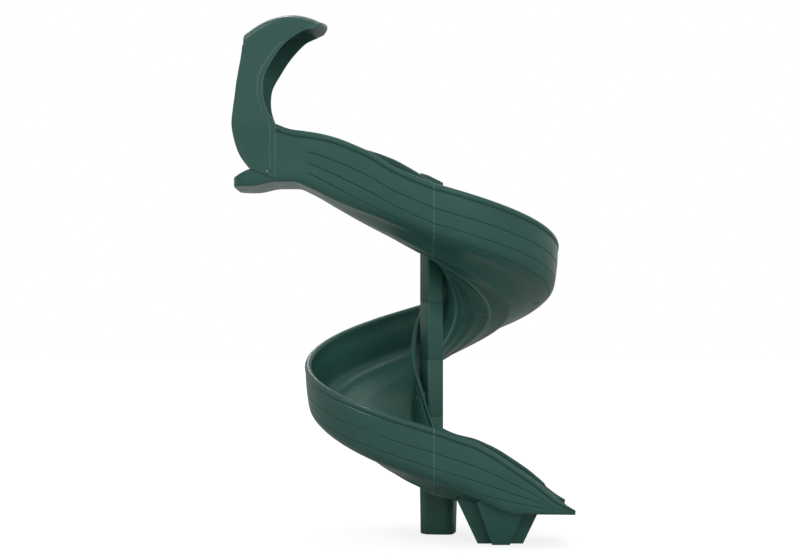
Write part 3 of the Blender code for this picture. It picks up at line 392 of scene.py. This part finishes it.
def sill_lines(back, count):
    """Outer and inner points across the sill, with its low curbs, as many as the trough has."""
    low = underside(ENTRY_STATION - back * STATIONS_PER_METRE)
    top = low + smooth(CURB, (back - HOOD_SEAM) / (ENTRY_LENGTH - HOOD_SEAM))
    corner_cut = max(0.0, back - (ENTRY_LENGTH - SILL_CORNER))
    corner = SILL_CORNER - sqrt(max(SILL_CORNER ** 2 - corner_cut ** 2, 0.0))
    inset = HOOD_WALL * sqrt(1.0 + HOOD_LEAN ** 2) + GAP + corner

    def half_width(height):
        return hood_side(height) - inset - MIDDLE

    reach = half_width(low)
    side = [Vector((half_width(top) - WALL * 0.5, top)),
            Vector((half_width(top) - 0.001, top - 0.003)),
            Vector((half_width(top - 0.008), top - 0.008))]
    for k in (2, 4):
        height = top + (low - top) * k / 6.0
        side.append(Vector((half_width(height), height)))
    side += [Vector((reach - 0.001, low + 0.012)), Vector((reach - 0.006, low + 0.003)),
             Vector((reach - CURB_EDGE, low))]
    half = catmull(side, 8)
    line = half + [Vector((-p.x, p.y)) for p in half[::-1]]
    total = along(line, [0.0])[1]
    outer = along(line, [total * k / (count - 1) for k in range(count)])[0]
    inner = []
    for p in outer:
        lift = low + WALL + (p.y - low) * (top - low - WALL) / (top - low)
        limit = half_width(lift) - WALL
        inner.append(Vector((max(-limit, min(limit, p.x)), max(lift, low + WALL))))
    shift = Vector((MIDDLE, 0.0))
    return [p + shift for p in outer], [p + shift for p in inner]


def steps(start, end, count):
    return [start + (end - start) * k / count for k in range(count + 1)]


def face_out(mesh):
    """Turn every face of a closed mesh outward."""
    bmesh.ops.recalc_face_normals(mesh, faces=mesh.faces)
    if mesh.calc_volume(signed=True) < 0.0:
        bmesh.ops.reverse_faces(mesh, faces=mesh.faces)


def link(name, mesh, material, angle=38.0):
    """Turn a bmesh into a smooth-shaded object."""
    face_out(mesh)
    data = bpy.data.meshes.new(name)
    mesh.to_mesh(data)
    mesh.free()
    data.shade_smooth()
    data.set_sharp_from_angle(angle=radians(angle))
    data.materials.append(material)
    item = bpy.data.objects.new(name, data)
    bpy.context.scene.collection.objects.link(item)
    return item


def piece(item, slot, *nodes):
    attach(item, "root")
    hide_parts(*nodes)


def shell(name, rows, material, marks=None):
    """Closed shell through rows of (outer, inner, painted light) world points, the painted light
    being optional.

    The "seam" value of a point is its painted light plus its row's mark: above 0 a painted
    highlight, below 0 painted shade.
    """
    mesh = bmesh.new()
    # Each point's painted highlight or painted shade is stored in the "seam" attribute
    layer = mesh.verts.layers.float.new("seam")
    grid = []
    for n, (outer, inner, *painted_light) in enumerate(rows):
        loop = []
        painted_light_values = [t[0] for t in painted_light[0]] + [t[1] for t in painted_light[0]][::-1] if painted_light else None
        for k, p in enumerate(outer + inner[::-1]):
            vert = mesh.verts.new(p)
            vert[layer] = (painted_light_values[k] if painted_light_values else 0.0) + (marks[n] if marks else 0.0)
            loop.append(vert)
        grid.append(loop)
    count = len(grid[0])
    for low, high in zip(grid, grid[1:]):
        for k in range(count):
            n = (k + 1) % count
            mesh.faces.new((low[k], low[n], high[n], high[k]))
    for row in (grid[0], grid[-1]):
        for k in range(count // 2 - 1):
            mesh.faces.new((row[k], row[k + 1], row[count - 2 - k], row[count - 1 - k]))
    return link(name, mesh, material)


def placed(station, points):
    return [place(station, p.x, p.y) for p in points]


def world_row(station, inset=0.0):
    """One (outer, inner) row of the trough, drawn in by a little at a seam's bevel."""
    outer, inner, painted_light = trough_lines(station)
    if inset:
        pairs = [((b - a).normalized(), a, b) for a, b in zip(outer, inner)]
        outer = [a + w * min(inset, 0.3 * (b - a).length) for w, a, b in pairs]
        inner = [b - w * min(inset, 0.3 * (b - a).length) for w, a, b in pairs]
    return placed(station, outer), placed(station, inner), painted_light


def seam_rows(station, sign):
    """Rows that round off a shell's edge at a seam, with a painted highlight along it; sign is +1
    where the shell starts there.
    """
    per_mm = 0.0016 * degrees(1.0)
    return [(world_row(station + sign * 0.25 * per_mm, SEAM_BEVEL), 1.0),
            (world_row(station + sign * 1.5 * per_mm), 0.8),
            (world_row(station + sign * 3.2 * per_mm), 0.0)]


def make_spiral(index, material):
    start, end = SEAMS[index], SEAMS[index + 1]
    rows = seam_rows(start, 1)
    rows += [(world_row(s), 0.0) for s in steps(start + 1.0, end - 1.0, 44)]
    rows += seam_rows(end, -1)[::-1]
    name = "look_spiral_%d" % (index + 1)
    item = shell(name, [row for row, _ in rows], material, [mark for _, mark in rows])
    piece(item, "trough_plastic", "spiral_section_%d" % (index + 1))
    return item


def make_entry(material):
    count = len(trough_lines(ENTRY_STATION)[0])
    start = ENTRY_LENGTH - SILL_CORNER
    backs = [start + SILL_CORNER * s for s in (1.0, 0.99, 0.965, 0.92, 0.84, 0.72, 0.56, 0.38, 0.2)]
    backs += steps(start, HOOD_SEAM + 0.001, 8)
    rows = []
    for back in backs:
        outer, inner = sill_lines(back, count)
        station = ENTRY_STATION - back * STATIONS_PER_METRE
        rows.append((placed(station, outer), placed(station, inner)))
    marks = [0.0] * len(rows)
    for back in [HOOD_SEAM] + steps(HOOD_SEAM - 0.004, 0.012, 56):
        rows.append(world_row(ENTRY_STATION - back * STATIONS_PER_METRE))
        # Painted highlight along the edge at the hood's seam
        marks.append(1.0 if back > HOOD_SEAM - 0.003 else 0.0)
    tail = seam_rows_straight(ENTRY_STATION, -1)
    rows += [row for row, _ in tail]
    marks += [mark for _, mark in tail]
    item = shell("look_entry", rows, material, marks)
    piece(item, "trough_plastic", "entry_section")
    return item


def seam_rows_straight(station, sign):
    """As seam_rows, for the straight ends, with the same painted highlight along the seam."""
    rows = [(0.0003, SEAM_BEVEL, 1.0), (0.002, 0.0, 0.8), (0.0045, 0.0, 0.0)]
    made = [(world_row(station + sign * on * STATIONS_PER_METRE, inset), mark)
            for on, inset, mark in rows]
    return made if sign > 0 else made[::-1]


def make_exit(material):
    rows = seam_rows_straight(EXIT_STATION, 1)
    for on in steps(0.012, EXIT_LENGTH - 0.004, 58) + [EXIT_LENGTH - 0.0012]:
        rows.append((world_row(EXIT_STATION + on * STATIONS_PER_METRE), 0.0))
    rows.append((world_row(EXIT_STATION + EXIT_LENGTH * STATIONS_PER_METRE, 0.003), 0.0))
    item = shell("look_exit", [row for row, _ in rows], material, [mark for _, mark in rows])
    piece(item, "trough_plastic", "exit_section")
    return item


def hood_back(rear, front, s):
    """Distance behind the first seam, at share s of the way from the hood's rear to its front."""
    start = HOOD_SEAM + (ENTRY_LENGTH - HOOD_SEAM) * rear
    return start + (HOOD_SEAM + HOOD_SEAM_GAP + front - start) * s


HOOD_SHARES = [0.0, 0.012, 0.035, 0.08] + [0.08 + 0.72 * k / 16 for k in range(1, 17)] \
    + [0.83, 0.85, 0.87, 0.88, 0.89, 0.90, 0.91, 0.92, 0.93, 0.94, 0.95, 0.96, 0.97] \
    + [0.978, 0.984, 0.989, 0.993, 0.997, 1.0]


def hood_grid():
    """Rows of the hood's outer skin, near side up, over the roof and down the far side."""
    def side_row(rear, front, sign, s):
        back = hood_back(rear[0], front[0], s)
        z = DECK_HEIGHT + rear[1] + (front[1] - rear[1]) * s
        return Vector((-back, -MIDDLE - sign * (hood_side(z) - MIDDLE), z))

    def roof_row(inward, lift, sign, across, s):
        back = hood_back(HOOD_ROOF_REAR[0], smooth(HOOD_LIP, across), s)
        z = HOOD_ROOF_REAR[1] + (HOOD_VISOR_HEIGHT - HOOD_ROOF_REAR[1]) * s
        z += smooth(HOOD_LIP_RISE, across) * s ** 3
        z += HOOD_ROOF_BULGE * 4.0 * s * (1.0 - s) + lift * (1.0 - HOOD_ROOF_FALL * s * s)
        return Vector((-back, -MIDDLE - sign * (OUTER_RADIUS - MIDDLE - inward), DECK_HEIGHT + z))

    def shoulder(sign, s):
        rows = []
        for k in range(4):
            turn = radians(30.0 * k)
            inward, lift = HOOD_SHOULDER * (1.0 - cos(turn)), HOOD_SHOULDER * sin(turn)
            rows.append(roof_row(inward, lift, sign, sign * (-1.0 + 0.06 * k), s))
        return rows

    columns = []
    for s in HOOD_SHARES:
        near = [side_row(r, f, 1, s) for r, f in zip(HOOD_REAR, HOOD_FRONT)]
        arch = shoulder(1, s)
        half = OUTER_RADIUS - MIDDLE - HOOD_SHOULDER
        top = []
        for k in range(1, 6):
            across = 1.0 - k / 3.0
            rise = 1.0 - across * across
            inward, lift = OUTER_RADIUS - MIDDLE - half * across, HOOD_SHOULDER + HOOD_CROWN * rise
            top.append(roof_row(inward, lift, 1, -0.8 * across, s))
        far = [side_row(r, f, -1, s) for r, f in zip(HOOD_REAR, HOOD_FRONT_FAR)]
        columns.append(catmull(near + arch + top + shoulder(-1, s)[::-1] + far[::-1], 4))
    return columns


def make_hood(material):
    """The hood as a shell, with a band round its opening, a lesser one behind, round edges, painted
    highlights along the band and painted shade inside.
    """
    columns = hood_grid()
    skin = bmesh.new()
    grid = [[skin.verts.new(p) for p in column] for column in columns]
    for one, two in zip(grid, grid[1:]):
        for k in range(len(one) - 1):
            skin.faces.new((one[k], two[k], two[k + 1], one[k + 1]))
    skin.normal_update()
    normals = [[v.normal.copy() for v in column] for column in grid]
    skin.free()
    middle = Vector((-1.0, -MIDDLE, DECK_HEIGHT + 0.5))
    flip = 1.0 if normals[10][20].dot(columns[10][20] - middle) > 0.0 else -1.0
    last = len(columns) - 1
    rows = []
    for k in range(len(columns[0])):
        outer, inner, painted_light = [], [], []
        for j in range(last + 1):
            p, n = columns[j][k], normals[j][k] * flip
            to_front = (columns[last][k] - p).length
            to_rear = (columns[0][k] - p).length
            rise = HOOD_BAND_RISE * (1.0 - blend(HOOD_BAND - 0.005, HOOD_BAND + 0.003, to_front))
            rise += 0.6 * HOOD_BAND_RISE * (1.0 - blend(0.012, 0.020, to_rear))
            edge = min(to_front, to_rear)
            round_off = EDGE_ROUND * (1.0 - min(1.0, edge / EDGE_REACH)) ** 2
            outer.append(p + n * (rise - round_off))
            inner.append(p - n * (HOOD_WALL - 0.5 * round_off))
            # Painted highlight along the opening's edge and the band's inner border; painted shade
            # over the whole inside, whose gloss is also dulled for a matte inner face
            step = max(0.0, 1.0 - abs(to_front - HOOD_BAND) / 0.006)
            painted_light.append((0.9 * max(0.0, 1.0 - to_front / 0.005) + 0.6 * step, -0.2))
        rows.append((outer, inner, painted_light))
    item = shell("look_hood", rows, material)
    piece(item, "hood_plastic", "entry_hood")
    return item


def facet_steps(start, end):
    return steps(start + LAP_ANGLE, end, round((end - start - LAP_ANGLE) / FACET_ANGLE))


COLUMN_TURN = 0.5 * sum(facet_steps(-90.0, 0.0)[2:4])


def rounded_square(side, corner, height, steps_per=6):
    points = []
    for quarter in range(4):
        for k in range(steps_per + 1):
            turn = radians(COLUMN_TURN + 90.0 * (quarter + k / steps_per))
            middle = radians(COLUMN_TURN + 90.0 * quarter + 45.0)
            reach = (0.5 * side - corner) * sqrt(2.0)
            points.append(Vector((reach * cos(middle) + corner * cos(turn),
                                  reach * sin(middle) + corner * sin(turn), height)))
    return points


def ring_of(radius, height, count=28):
    angles = [radians(COLUMN_TURN + 360.0 * (k + 0.5) / count) for k in range(count)]
    return [Vector((radius * cos(a), radius * sin(a), height)) for a in angles]


def loft(name, rows, material, closed=True, angle=38.0):
    """Piece through rings of equal count: a closed loop of rings, or one with flat ends."""
    mesh = bmesh.new()
    verts = [[mesh.verts.new(p) for p in row] for row in rows]
    count = len(rows[0])
    for one, two in zip(verts, verts[1:] + (verts[:1] if closed else [])):
        for k in range(count):
            n = (k + 1) % count
            mesh.faces.new((one[k], one[n], two[n], two[k]))
    if not closed:
        mesh.faces.new(verts[0])
        mesh.faces.new(verts[-1])
    return link(name, mesh, material, angle)


SLEEVE_HEIGHT = (DECK_HEIGHT + FIRST_SEAM_RIM - LAST_SEAM_RIM) / 4
COLUMN_TOP = COLUMN_FOOT + SLEEVES * SLEEVE_HEIGHT


def make_column(material):
    """Five hollow sleeves with soft edges, and the slanted cup on top."""
    soft = 0.0022
    for index in range(SLEEVES):
        low = COLUMN_FOOT + index * SLEEVE_HEIGHT + GAP
        high = low + SLEEVE_HEIGHT - 2.0 * GAP
        rows = [rounded_square(COLUMN_SIDE - 2 * soft, COLUMN_CORNER - soft, low),
                rounded_square(COLUMN_SIDE - 0.6 * soft, COLUMN_CORNER - 0.3 * soft,
                               low + 0.4 * soft),
                rounded_square(COLUMN_SIDE, COLUMN_CORNER, low + soft),
                rounded_square(COLUMN_SIDE, COLUMN_CORNER, high - soft),
                rounded_square(COLUMN_SIDE - 0.6 * soft, COLUMN_CORNER - 0.3 * soft,
                               high - 0.4 * soft),
                rounded_square(COLUMN_SIDE - 2 * soft, COLUMN_CORNER - soft, high),
                ring_of(POST_BORE, high), ring_of(POST_BORE, low)]
        item = loft("look_sleeve_%d" % (index + 1), rows, material)
        piece(item, "column_plastic", "column_sleeve_%d" % (index + 1))
    low = COLUMN_TOP + GAP
    reach = 0.5 * COLUMN_SIDE * sqrt(2.0)

    def slanted(side, corner, drop=0.0):
        middle = low + 0.5 * (CAP_LOW + CAP_HIGH) - drop
        slope = 0.5 * (CAP_HIGH - CAP_LOW) / reach
        return [Vector((p.x, p.y, middle - p.x * slope)) for p in rounded_square(side, corner, 0.0)]

    inner = COLUMN_SIDE - 2.0 * COLUMN_WALL
    corner = COLUMN_CORNER - COLUMN_WALL
    rows = [rounded_square(COLUMN_SIDE, COLUMN_CORNER, low),
            slanted(COLUMN_SIDE, COLUMN_CORNER, 0.003),
            slanted(COLUMN_SIDE - 0.003, COLUMN_CORNER - 0.0015),
            slanted(inner + 0.003, corner + 0.0015), slanted(inner, corner, 0.003),
            rounded_square(inner, corner, low + CAP_FLOOR),
            ring_of(CAP_BORE, low + CAP_FLOOR), ring_of(CAP_BORE, low)]
    item = loft("look_cap", rows, material)
    piece(item, "column_plastic", "column_cap")


def rounded_plan(corners, height, scale, inset, per=6):
    """Closed plan with each corner turned into a soft arc."""
    points = []
    count = len(corners)
    centre = sum((Vector(c[:2]) for c in corners), Vector((0.0, 0.0))) / count
    for k in range(count):
        here = Vector(corners[k][:2])
        ends = []
        for neighbour in (corners[k - 1], corners[(k + 1) % count]):
            way = Vector(neighbour[:2]) - here
            ends.append(here + way.normalized() * min(corners[k][2], way.length * 0.45))
        for j in range(per + 1):
            t = j / per
            points.append(ends[0] * (1 - t) ** 2 + here * 2 * t * (1 - t) + ends[1] * t * t)
    rows = []
    for p in points:
        q = p * scale
        q += (centre - q).normalized() * inset
        rows.append(Vector((q.x, q.y, height)))
    return rows


def make_leg(material):
    top = COLUMN_FOOT - GAP
    heights = [(0.0, LEG_TAPER, 0.004), (0.0014, LEG_TAPER, 0.001), (0.004, LEG_TAPER, 0.0)]
    heights += [(top * h, LEG_TAPER + (1.0 - LEG_TAPER) * h, 0.0) for h in (0.25, 0.5, 0.75)]
    heights += [(top - 0.005, 1.0, 0.0), (top - 0.0015, 1.0, 0.0015), (top, 1.0, 0.005)]
    rows = [rounded_plan(LEG_PLAN, height, scale, inset) for height, scale, inset in heights]
    item = loft("look_leg", rows, material, closed=False)
    piece(item, "support_plastic", "column_leg")


def turned(mesh, profile, matrix, sides=36):
    """Add a solid of revolution; radii may be given per direction by a function."""
    rows = []
    for radius, height in profile:
        if radius == 0.0:
            rows.append([mesh.verts.new(matrix @ Vector((0.0, 0.0, height)))])
            continue
        row = []
        for k in range(sides):
            a = 2.0 * pi * k / sides
            r = radius(a) if callable(radius) else radius
            row.append(mesh.verts.new(matrix @ Vector((r * cos(a), r * sin(a), height))))
        rows.append(row)
    for one, two in zip(rows, rows[1:]):
        for k in range(sides):
            n = (k + 1) % sides
            corners = [one[k % len(one)], one[n % len(one)], two[n % len(two)], two[k % len(two)]]
            unique = list(dict.fromkeys(corners))
            if len(unique) > 2:
                mesh.faces.new(unique)


def hexagon(reach):
    return lambda a: reach * cos(pi / 6) / cos((a % (pi / 3)) - pi / 6)


def head_frame(name):
    """Frame at the middle of a fastener's head, Z along its axis, and the fastener's length."""
    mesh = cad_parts[name].data
    areas = {}
    for face in mesh.polygons:
        key = tuple(round(c, 2) for c in face.normal)
        areas.setdefault(key, [0.0, Vector()])
        areas[key][0] += face.area
        areas[key][1] += face.normal * face.area
    axis = -max(areas.values(), key=lambda v: v[0])[1].normalized()
    reach = [v.co.dot(axis) for v in mesh.vertices]
    middle = sum((v.co for v in mesh.vertices), Vector()) / len(mesh.vertices)
    tip = middle + axis * (max(reach) - middle.dot(axis))
    turn = axis.to_track_quat("Z", "Y").to_matrix().to_4x4()
    return Matrix.Translation(tip) @ turn, max(reach) - min(reach)


def make_fastener(name, head, shank, material):
    """Button head with a hexagonal socket, on a plain shank."""
    matrix, length = head_frame(name)
    mesh = bmesh.new()
    socket = hexagon(0.36 * head)
    turned(mesh, ((0.0, -0.0016), (socket, -0.0016), (socket, 0.0006), (0.5 * head, 0.0006),
                  (0.72 * head, 0.0001), (0.88 * head, -0.0008), (0.97 * head, -0.0018),
                  (head, -0.0027), (shank, -0.0027), (shank, -length), (0.0, -length)), matrix)
    piece(link("look_" + name, mesh, material, 50.0), "zinc_steel", name)


def recess(item, names, reach):
    """Sink a round dish under each fastener's head, with the solver that repeats exactly."""
    cutter = bmesh.new()
    for name in names:
        matrix = head_frame(name)[0]
        turned(cutter, ((0.0, 0.03), (reach + 0.0045, 0.03), (reach + 0.0045, 0.0016),
                        (reach + 0.001, -0.0002), (reach, -0.0016), (reach - 0.0015, -0.0027),
                        (0.0, -0.0027)), matrix)
    face_out(cutter)
    data = bpy.data.meshes.new("cutter")
    cutter.to_mesh(data)
    cutter.free()
    tool = bpy.data.objects.new("cutter", data)
    bpy.context.scene.collection.objects.link(tool)
    cut = item.modifiers.new("recess", "BOOLEAN")
    cut.operation = "DIFFERENCE"
    cut.solver = "FAST"
    cut.object = tool
    bpy.context.view_layer.update()
    done = item.evaluated_get(bpy.context.evaluated_depsgraph_get())
    shape = bpy.data.meshes.new_from_object(done)
    item.modifiers.remove(cut)
    item.data = shape
    bpy.data.objects.remove(tool, do_unlink=True)


def node_tree(name):
    material = bpy.data.materials.new(name)
    material.use_nodes = True
    nodes = material.node_tree.nodes
    return material, nodes, material.node_tree.links, nodes["Principled BSDF"]


def math(nodes, links, kind, a, b, clamp=False):
    node = nodes.new("ShaderNodeMath")
    node.operation = kind
    node.use_clamp = clamp
    for slot, value in ((0, a), (1, b)):
        if isinstance(value, float):
            node.inputs[slot].default_value = value
        else:
            links.new(value, node.inputs[slot])
    return node.outputs[0]


def ranged(nodes, links, value, start, end, from_start=0.0, from_end=1.0):
    node = nodes.new("ShaderNodeMapRange")
    node.inputs["From Min"].default_value = from_start
    node.inputs["From Max"].default_value = from_end
    node.inputs["To Min"].default_value = start
    node.inputs["To Max"].default_value = end
    links.new(value, node.inputs["Value"])
    return node.outputs[0]


def noise(nodes, links, scale, detail, roughness=0.5):
    node = nodes.new("ShaderNodeTexNoise")
    node.inputs["Scale"].default_value = scale
    node.inputs["Detail"].default_value = detail
    node.inputs["Roughness"].default_value = roughness
    coords = nodes.new("ShaderNodeTexCoord")
    links.new(coords.outputs["Object"], node.inputs["Vector"])
    return node.outputs[0]


def bumped(nodes, links, height, strength, distance):
    node = nodes.new("ShaderNodeBump")
    node.inputs["Strength"].default_value = strength
    node.inputs["Distance"].default_value = distance
    links.new(height, node.inputs["Height"])
    return node


def scaled(nodes, links, colour, level):
    node = nodes.new("ShaderNodeVectorMath")
    node.operation = "SCALE"
    node.inputs[0].default_value = colour
    links.new(level, node.inputs["Scale"])
    return node.outputs[0]


def plastic(name, colour, rough=0.33, specular=0.23):
    """Rotomoulded plastic: fine grain, faint clouding of colour and gloss, painted highlights and
    painted shade.
    """
    material, nodes, links, shader = node_tree(name)
    clouds = ranged(nodes, links, noise(nodes, links, 3.5, 4.0), 0.94, 1.06, 0.3, 0.7)
    flecks = ranged(nodes, links, noise(nodes, links, 420.0, 2.0), 0.96, 1.04, 0.35, 0.65)
    # The "seam" attribute carries painted light: above 0 a painted highlight is mixed in, below 0
    # painted shade darkens the colour and dulls the gloss
    seam = nodes.new("ShaderNodeAttribute")
    seam.attribute_name = "seam"
    painted_darkening = ranged(nodes, links, seam.outputs["Fac"], DARKEST_PAINTED_SHADE, 1.0, -1.0, 0.0)
    level = math(nodes, links, "MULTIPLY", clouds, flecks)
    base = scaled(nodes, links, colour, math(nodes, links, "MULTIPLY", level, painted_darkening))
    pale = nodes.new("ShaderNodeMix")
    pale.data_type = "RGBA"
    pale.inputs["B"].default_value = PAINTED_HIGHLIGHT_GREEN
    share = math(nodes, links, "MULTIPLY", seam.outputs["Fac"], 0.55, True)
    links.new(share, pale.inputs["Factor"])
    links.new(base, pale.inputs["A"])
    links.new(pale.outputs["Result"], shader.inputs["Base Color"])
    smears = noise(nodes, links, 9.0, 3.0)
    gloss = ranged(nodes, links, smears, rough - 0.03, rough + 0.04, 0.3, 0.7)
    links.new(gloss, shader.inputs["Roughness"])
    facing = nodes.new("ShaderNodeLayerWeight").outputs["Facing"]
    sheen = ranged(nodes, links, facing, specular, GRAZING_SHEEN * specular)
    links.new(math(nodes, links, "MULTIPLY", sheen, painted_darkening), shader.inputs["Specular IOR Level"])
    grain = bumped(nodes, links, noise(nodes, links, 650.0, 3.0, 0.6), 0.10, 0.0006)
    wave = bumped(nodes, links, noise(nodes, links, 14.0, 2.0), 0.10, 0.004)
    links.new(grain.outputs[0], wave.inputs["Normal"])
    links.new(wave.outputs[0], shader.inputs["Normal"])
    return material


def steel(name, colour, rough):
    """Zinc-plated steel with mottled colour and gloss."""
    material, nodes, links, shader = node_tree(name)
    spots = noise(nodes, links, 160.0, 4.0)
    base = scaled(nodes, links, colour, ranged(nodes, links, spots, 0.8, 1.15))
    links.new(base, shader.inputs["Base Color"])
    gloss = ranged(nodes, links, spots, rough - 0.08, rough + 0.12)
    links.new(gloss, shader.inputs["Roughness"])
    shader.inputs["Metallic"].default_value = 1.0
    marks = bumped(nodes, links, spots, 0.15, 0.0003)
    links.new(marks.outputs[0], shader.inputs["Normal"])
    return material


def make_stage():
    """Pale floor that keeps the slide's shadow, a white backdrop and soft lamps."""
    mesh = bmesh.new()
    corners = ((-1.0, -1.0), (1.0, -1.0), (1.0, 1.0), (-1.0, 1.0))
    mesh.faces.new([mesh.verts.new((x * FLOOR_HALF, y * FLOOR_HALF, -FLOOR_DROP))
                    for x, y in corners])
    floor = link("floor", mesh, floor_material())
    world = bpy.data.worlds.new("studio")
    bpy.context.scene.world = world
    world.use_nodes = True
    nodes, links = world.node_tree.nodes, world.node_tree.links
    light = nodes["Background"]
    light.inputs["Color"].default_value = (1.0, 1.0, 1.0, 1.0)
    light.inputs["Strength"].default_value = WORLD_LIGHT
    backdrop = nodes.new("ShaderNodeBackground")
    backdrop.inputs["Color"].default_value = (1.0, 1.0, 1.0, 1.0)
    mix = nodes.new("ShaderNodeMixShader")
    links.new(seen_rays(nodes, links), mix.inputs[0])
    links.new(light.outputs[0], mix.inputs[1])
    links.new(backdrop.outputs[0], mix.inputs[2])
    links.new(mix.outputs[0], nodes["World Output"].inputs["Surface"])
    for name, energy, angle, aim in LAMPS:
        data = bpy.data.lights.new(name, "SUN")
        data.energy = energy
        data.angle = radians(angle)
        lamp = bpy.data.objects.new(name, data)
        lamp.rotation_mode = "QUATERNION"
        lamp.rotation_quaternion = Vector(aim).normalized().to_track_quat("-Z", "Y")
        lamp.visible_diffuse = not name.startswith("glint")
        lamp.visible_glossy = name != "fill"
        bpy.context.scene.collection.objects.link(lamp)


def seen_rays(nodes, links):
    """1 for rays that show the backdrop itself: the camera's, mirrored and transmitted ones."""
    rays = nodes.new("ShaderNodeLightPath").outputs
    seen = math(nodes, links, "ADD", rays["Is Camera Ray"], rays["Is Glossy Ray"], True)
    return math(nodes, links, "ADD", seen, rays["Is Transmission Ray"], True)


def floor_material():
    """Pale floor; where it is seen it is lifted to the backdrop's white, less the shadow on it."""
    material, nodes, links, shader = node_tree("pale_floor")
    shader.inputs["Base Color"].default_value = (FLOOR_GREY, FLOOR_GREY, FLOOR_GREY, 1.0)
    shader.inputs["Roughness"].default_value = 0.9
    shader.inputs["Specular IOR Level"].default_value = 0.0
    shown = nodes.new("ShaderNodeAddShader")
    matt = nodes.new("ShaderNodeBsdfDiffuse")
    matt.inputs["Color"].default_value = (SEEN_GREY, SEEN_GREY, SEEN_GREY, 1.0)
    lift = nodes.new("ShaderNodeEmission")
    lift.inputs["Strength"].default_value = SEEN_LIFT
    links.new(matt.outputs[0], shown.inputs[0])
    links.new(lift.outputs[0], shown.inputs[1])
    mix = nodes.new("ShaderNodeMixShader")
    links.new(nodes.new("ShaderNodeLightPath").outputs["Is Camera Ray"], mix.inputs[0])
    links.new(shader.outputs[0], mix.inputs[1])
    links.new(shown.outputs[0], mix.inputs[2])
    links.new(mix.outputs[0], nodes["Material Output"].inputs["Surface"])
    return material


def make_camera():
    data = bpy.data.cameras.new("camera")
    data.lens = LENS
    data.sensor_width = 36.0
    data.shift_y = LENS_SHIFT
    camera = bpy.data.objects.new("camera", data)
    camera.location = CAMERA_PLACE
    camera.rotation_euler = (radians(90.0), 0.0, 0.0)
    bpy.context.scene.collection.objects.link(camera)
    bpy.context.scene.camera = camera
    bpy.context.scene.view_settings.view_transform = "Standard"


trough = plastic("trough_plastic", GREEN)
hood = plastic("hood_plastic", GREEN)
column = plastic("column_plastic", GREEN)
support = plastic("support_plastic", GREEN, rough=0.40)
zinc = steel("zinc_steel", ZINC, 0.42)

make_camera()
make_stage()
make_entry(trough)
spirals = [make_spiral(k, trough) for k in range(4)]
exit_part = make_exit(trough)
hood_part = make_hood(hood)
make_column(column)
make_leg(support)

for number, item in enumerate(spirals + [exit_part], 1):
    bolt, screw, hub_bolt = "seam_bolt_%d" % number, "rim_screw_%d" % number, "hub_bolt_%d" % number
    recess(item, [bolt], SEAM_DISH)
    recess(item, [screw], SCREW_DISH)
    make_fastener(bolt, BOLT_HEAD, BOLT_SHANK, zinc)
    make_fastener(screw, SCREW_HEAD, SCREW_SHANK, zinc)
    if hub_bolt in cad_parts:
        recess(item, [hub_bolt], HUB_DISH)
        make_fastener(hub_bolt, BOLT_HEAD, BOLT_SHANK, zinc)
foot_screws = ["exit_foot_screw_1", "exit_foot_screw_2"]
hood_bolts = ["hood_bolt_near", "hood_bolt_far"]
recess(exit_part, foot_screws, HUB_DISH)
for name in foot_screws + hood_bolts:
    make_fastener(name, BOLT_HEAD, BOLT_SHANK, zinc)
recess(hood_part, hood_bolts, SEAM_DISH)

edges = bpy.data.objects["exit_foot"].modifiers.new("edges", "BEVEL")
edges.width = FOOT_EDGE
edges.segments = 3
edges.limit_method = "ANGLE"
for name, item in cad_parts.items():
    for slot in item.material_slots:
        slot.material = support if name.startswith(("exit_foot", "hub_bracket")) else zinc
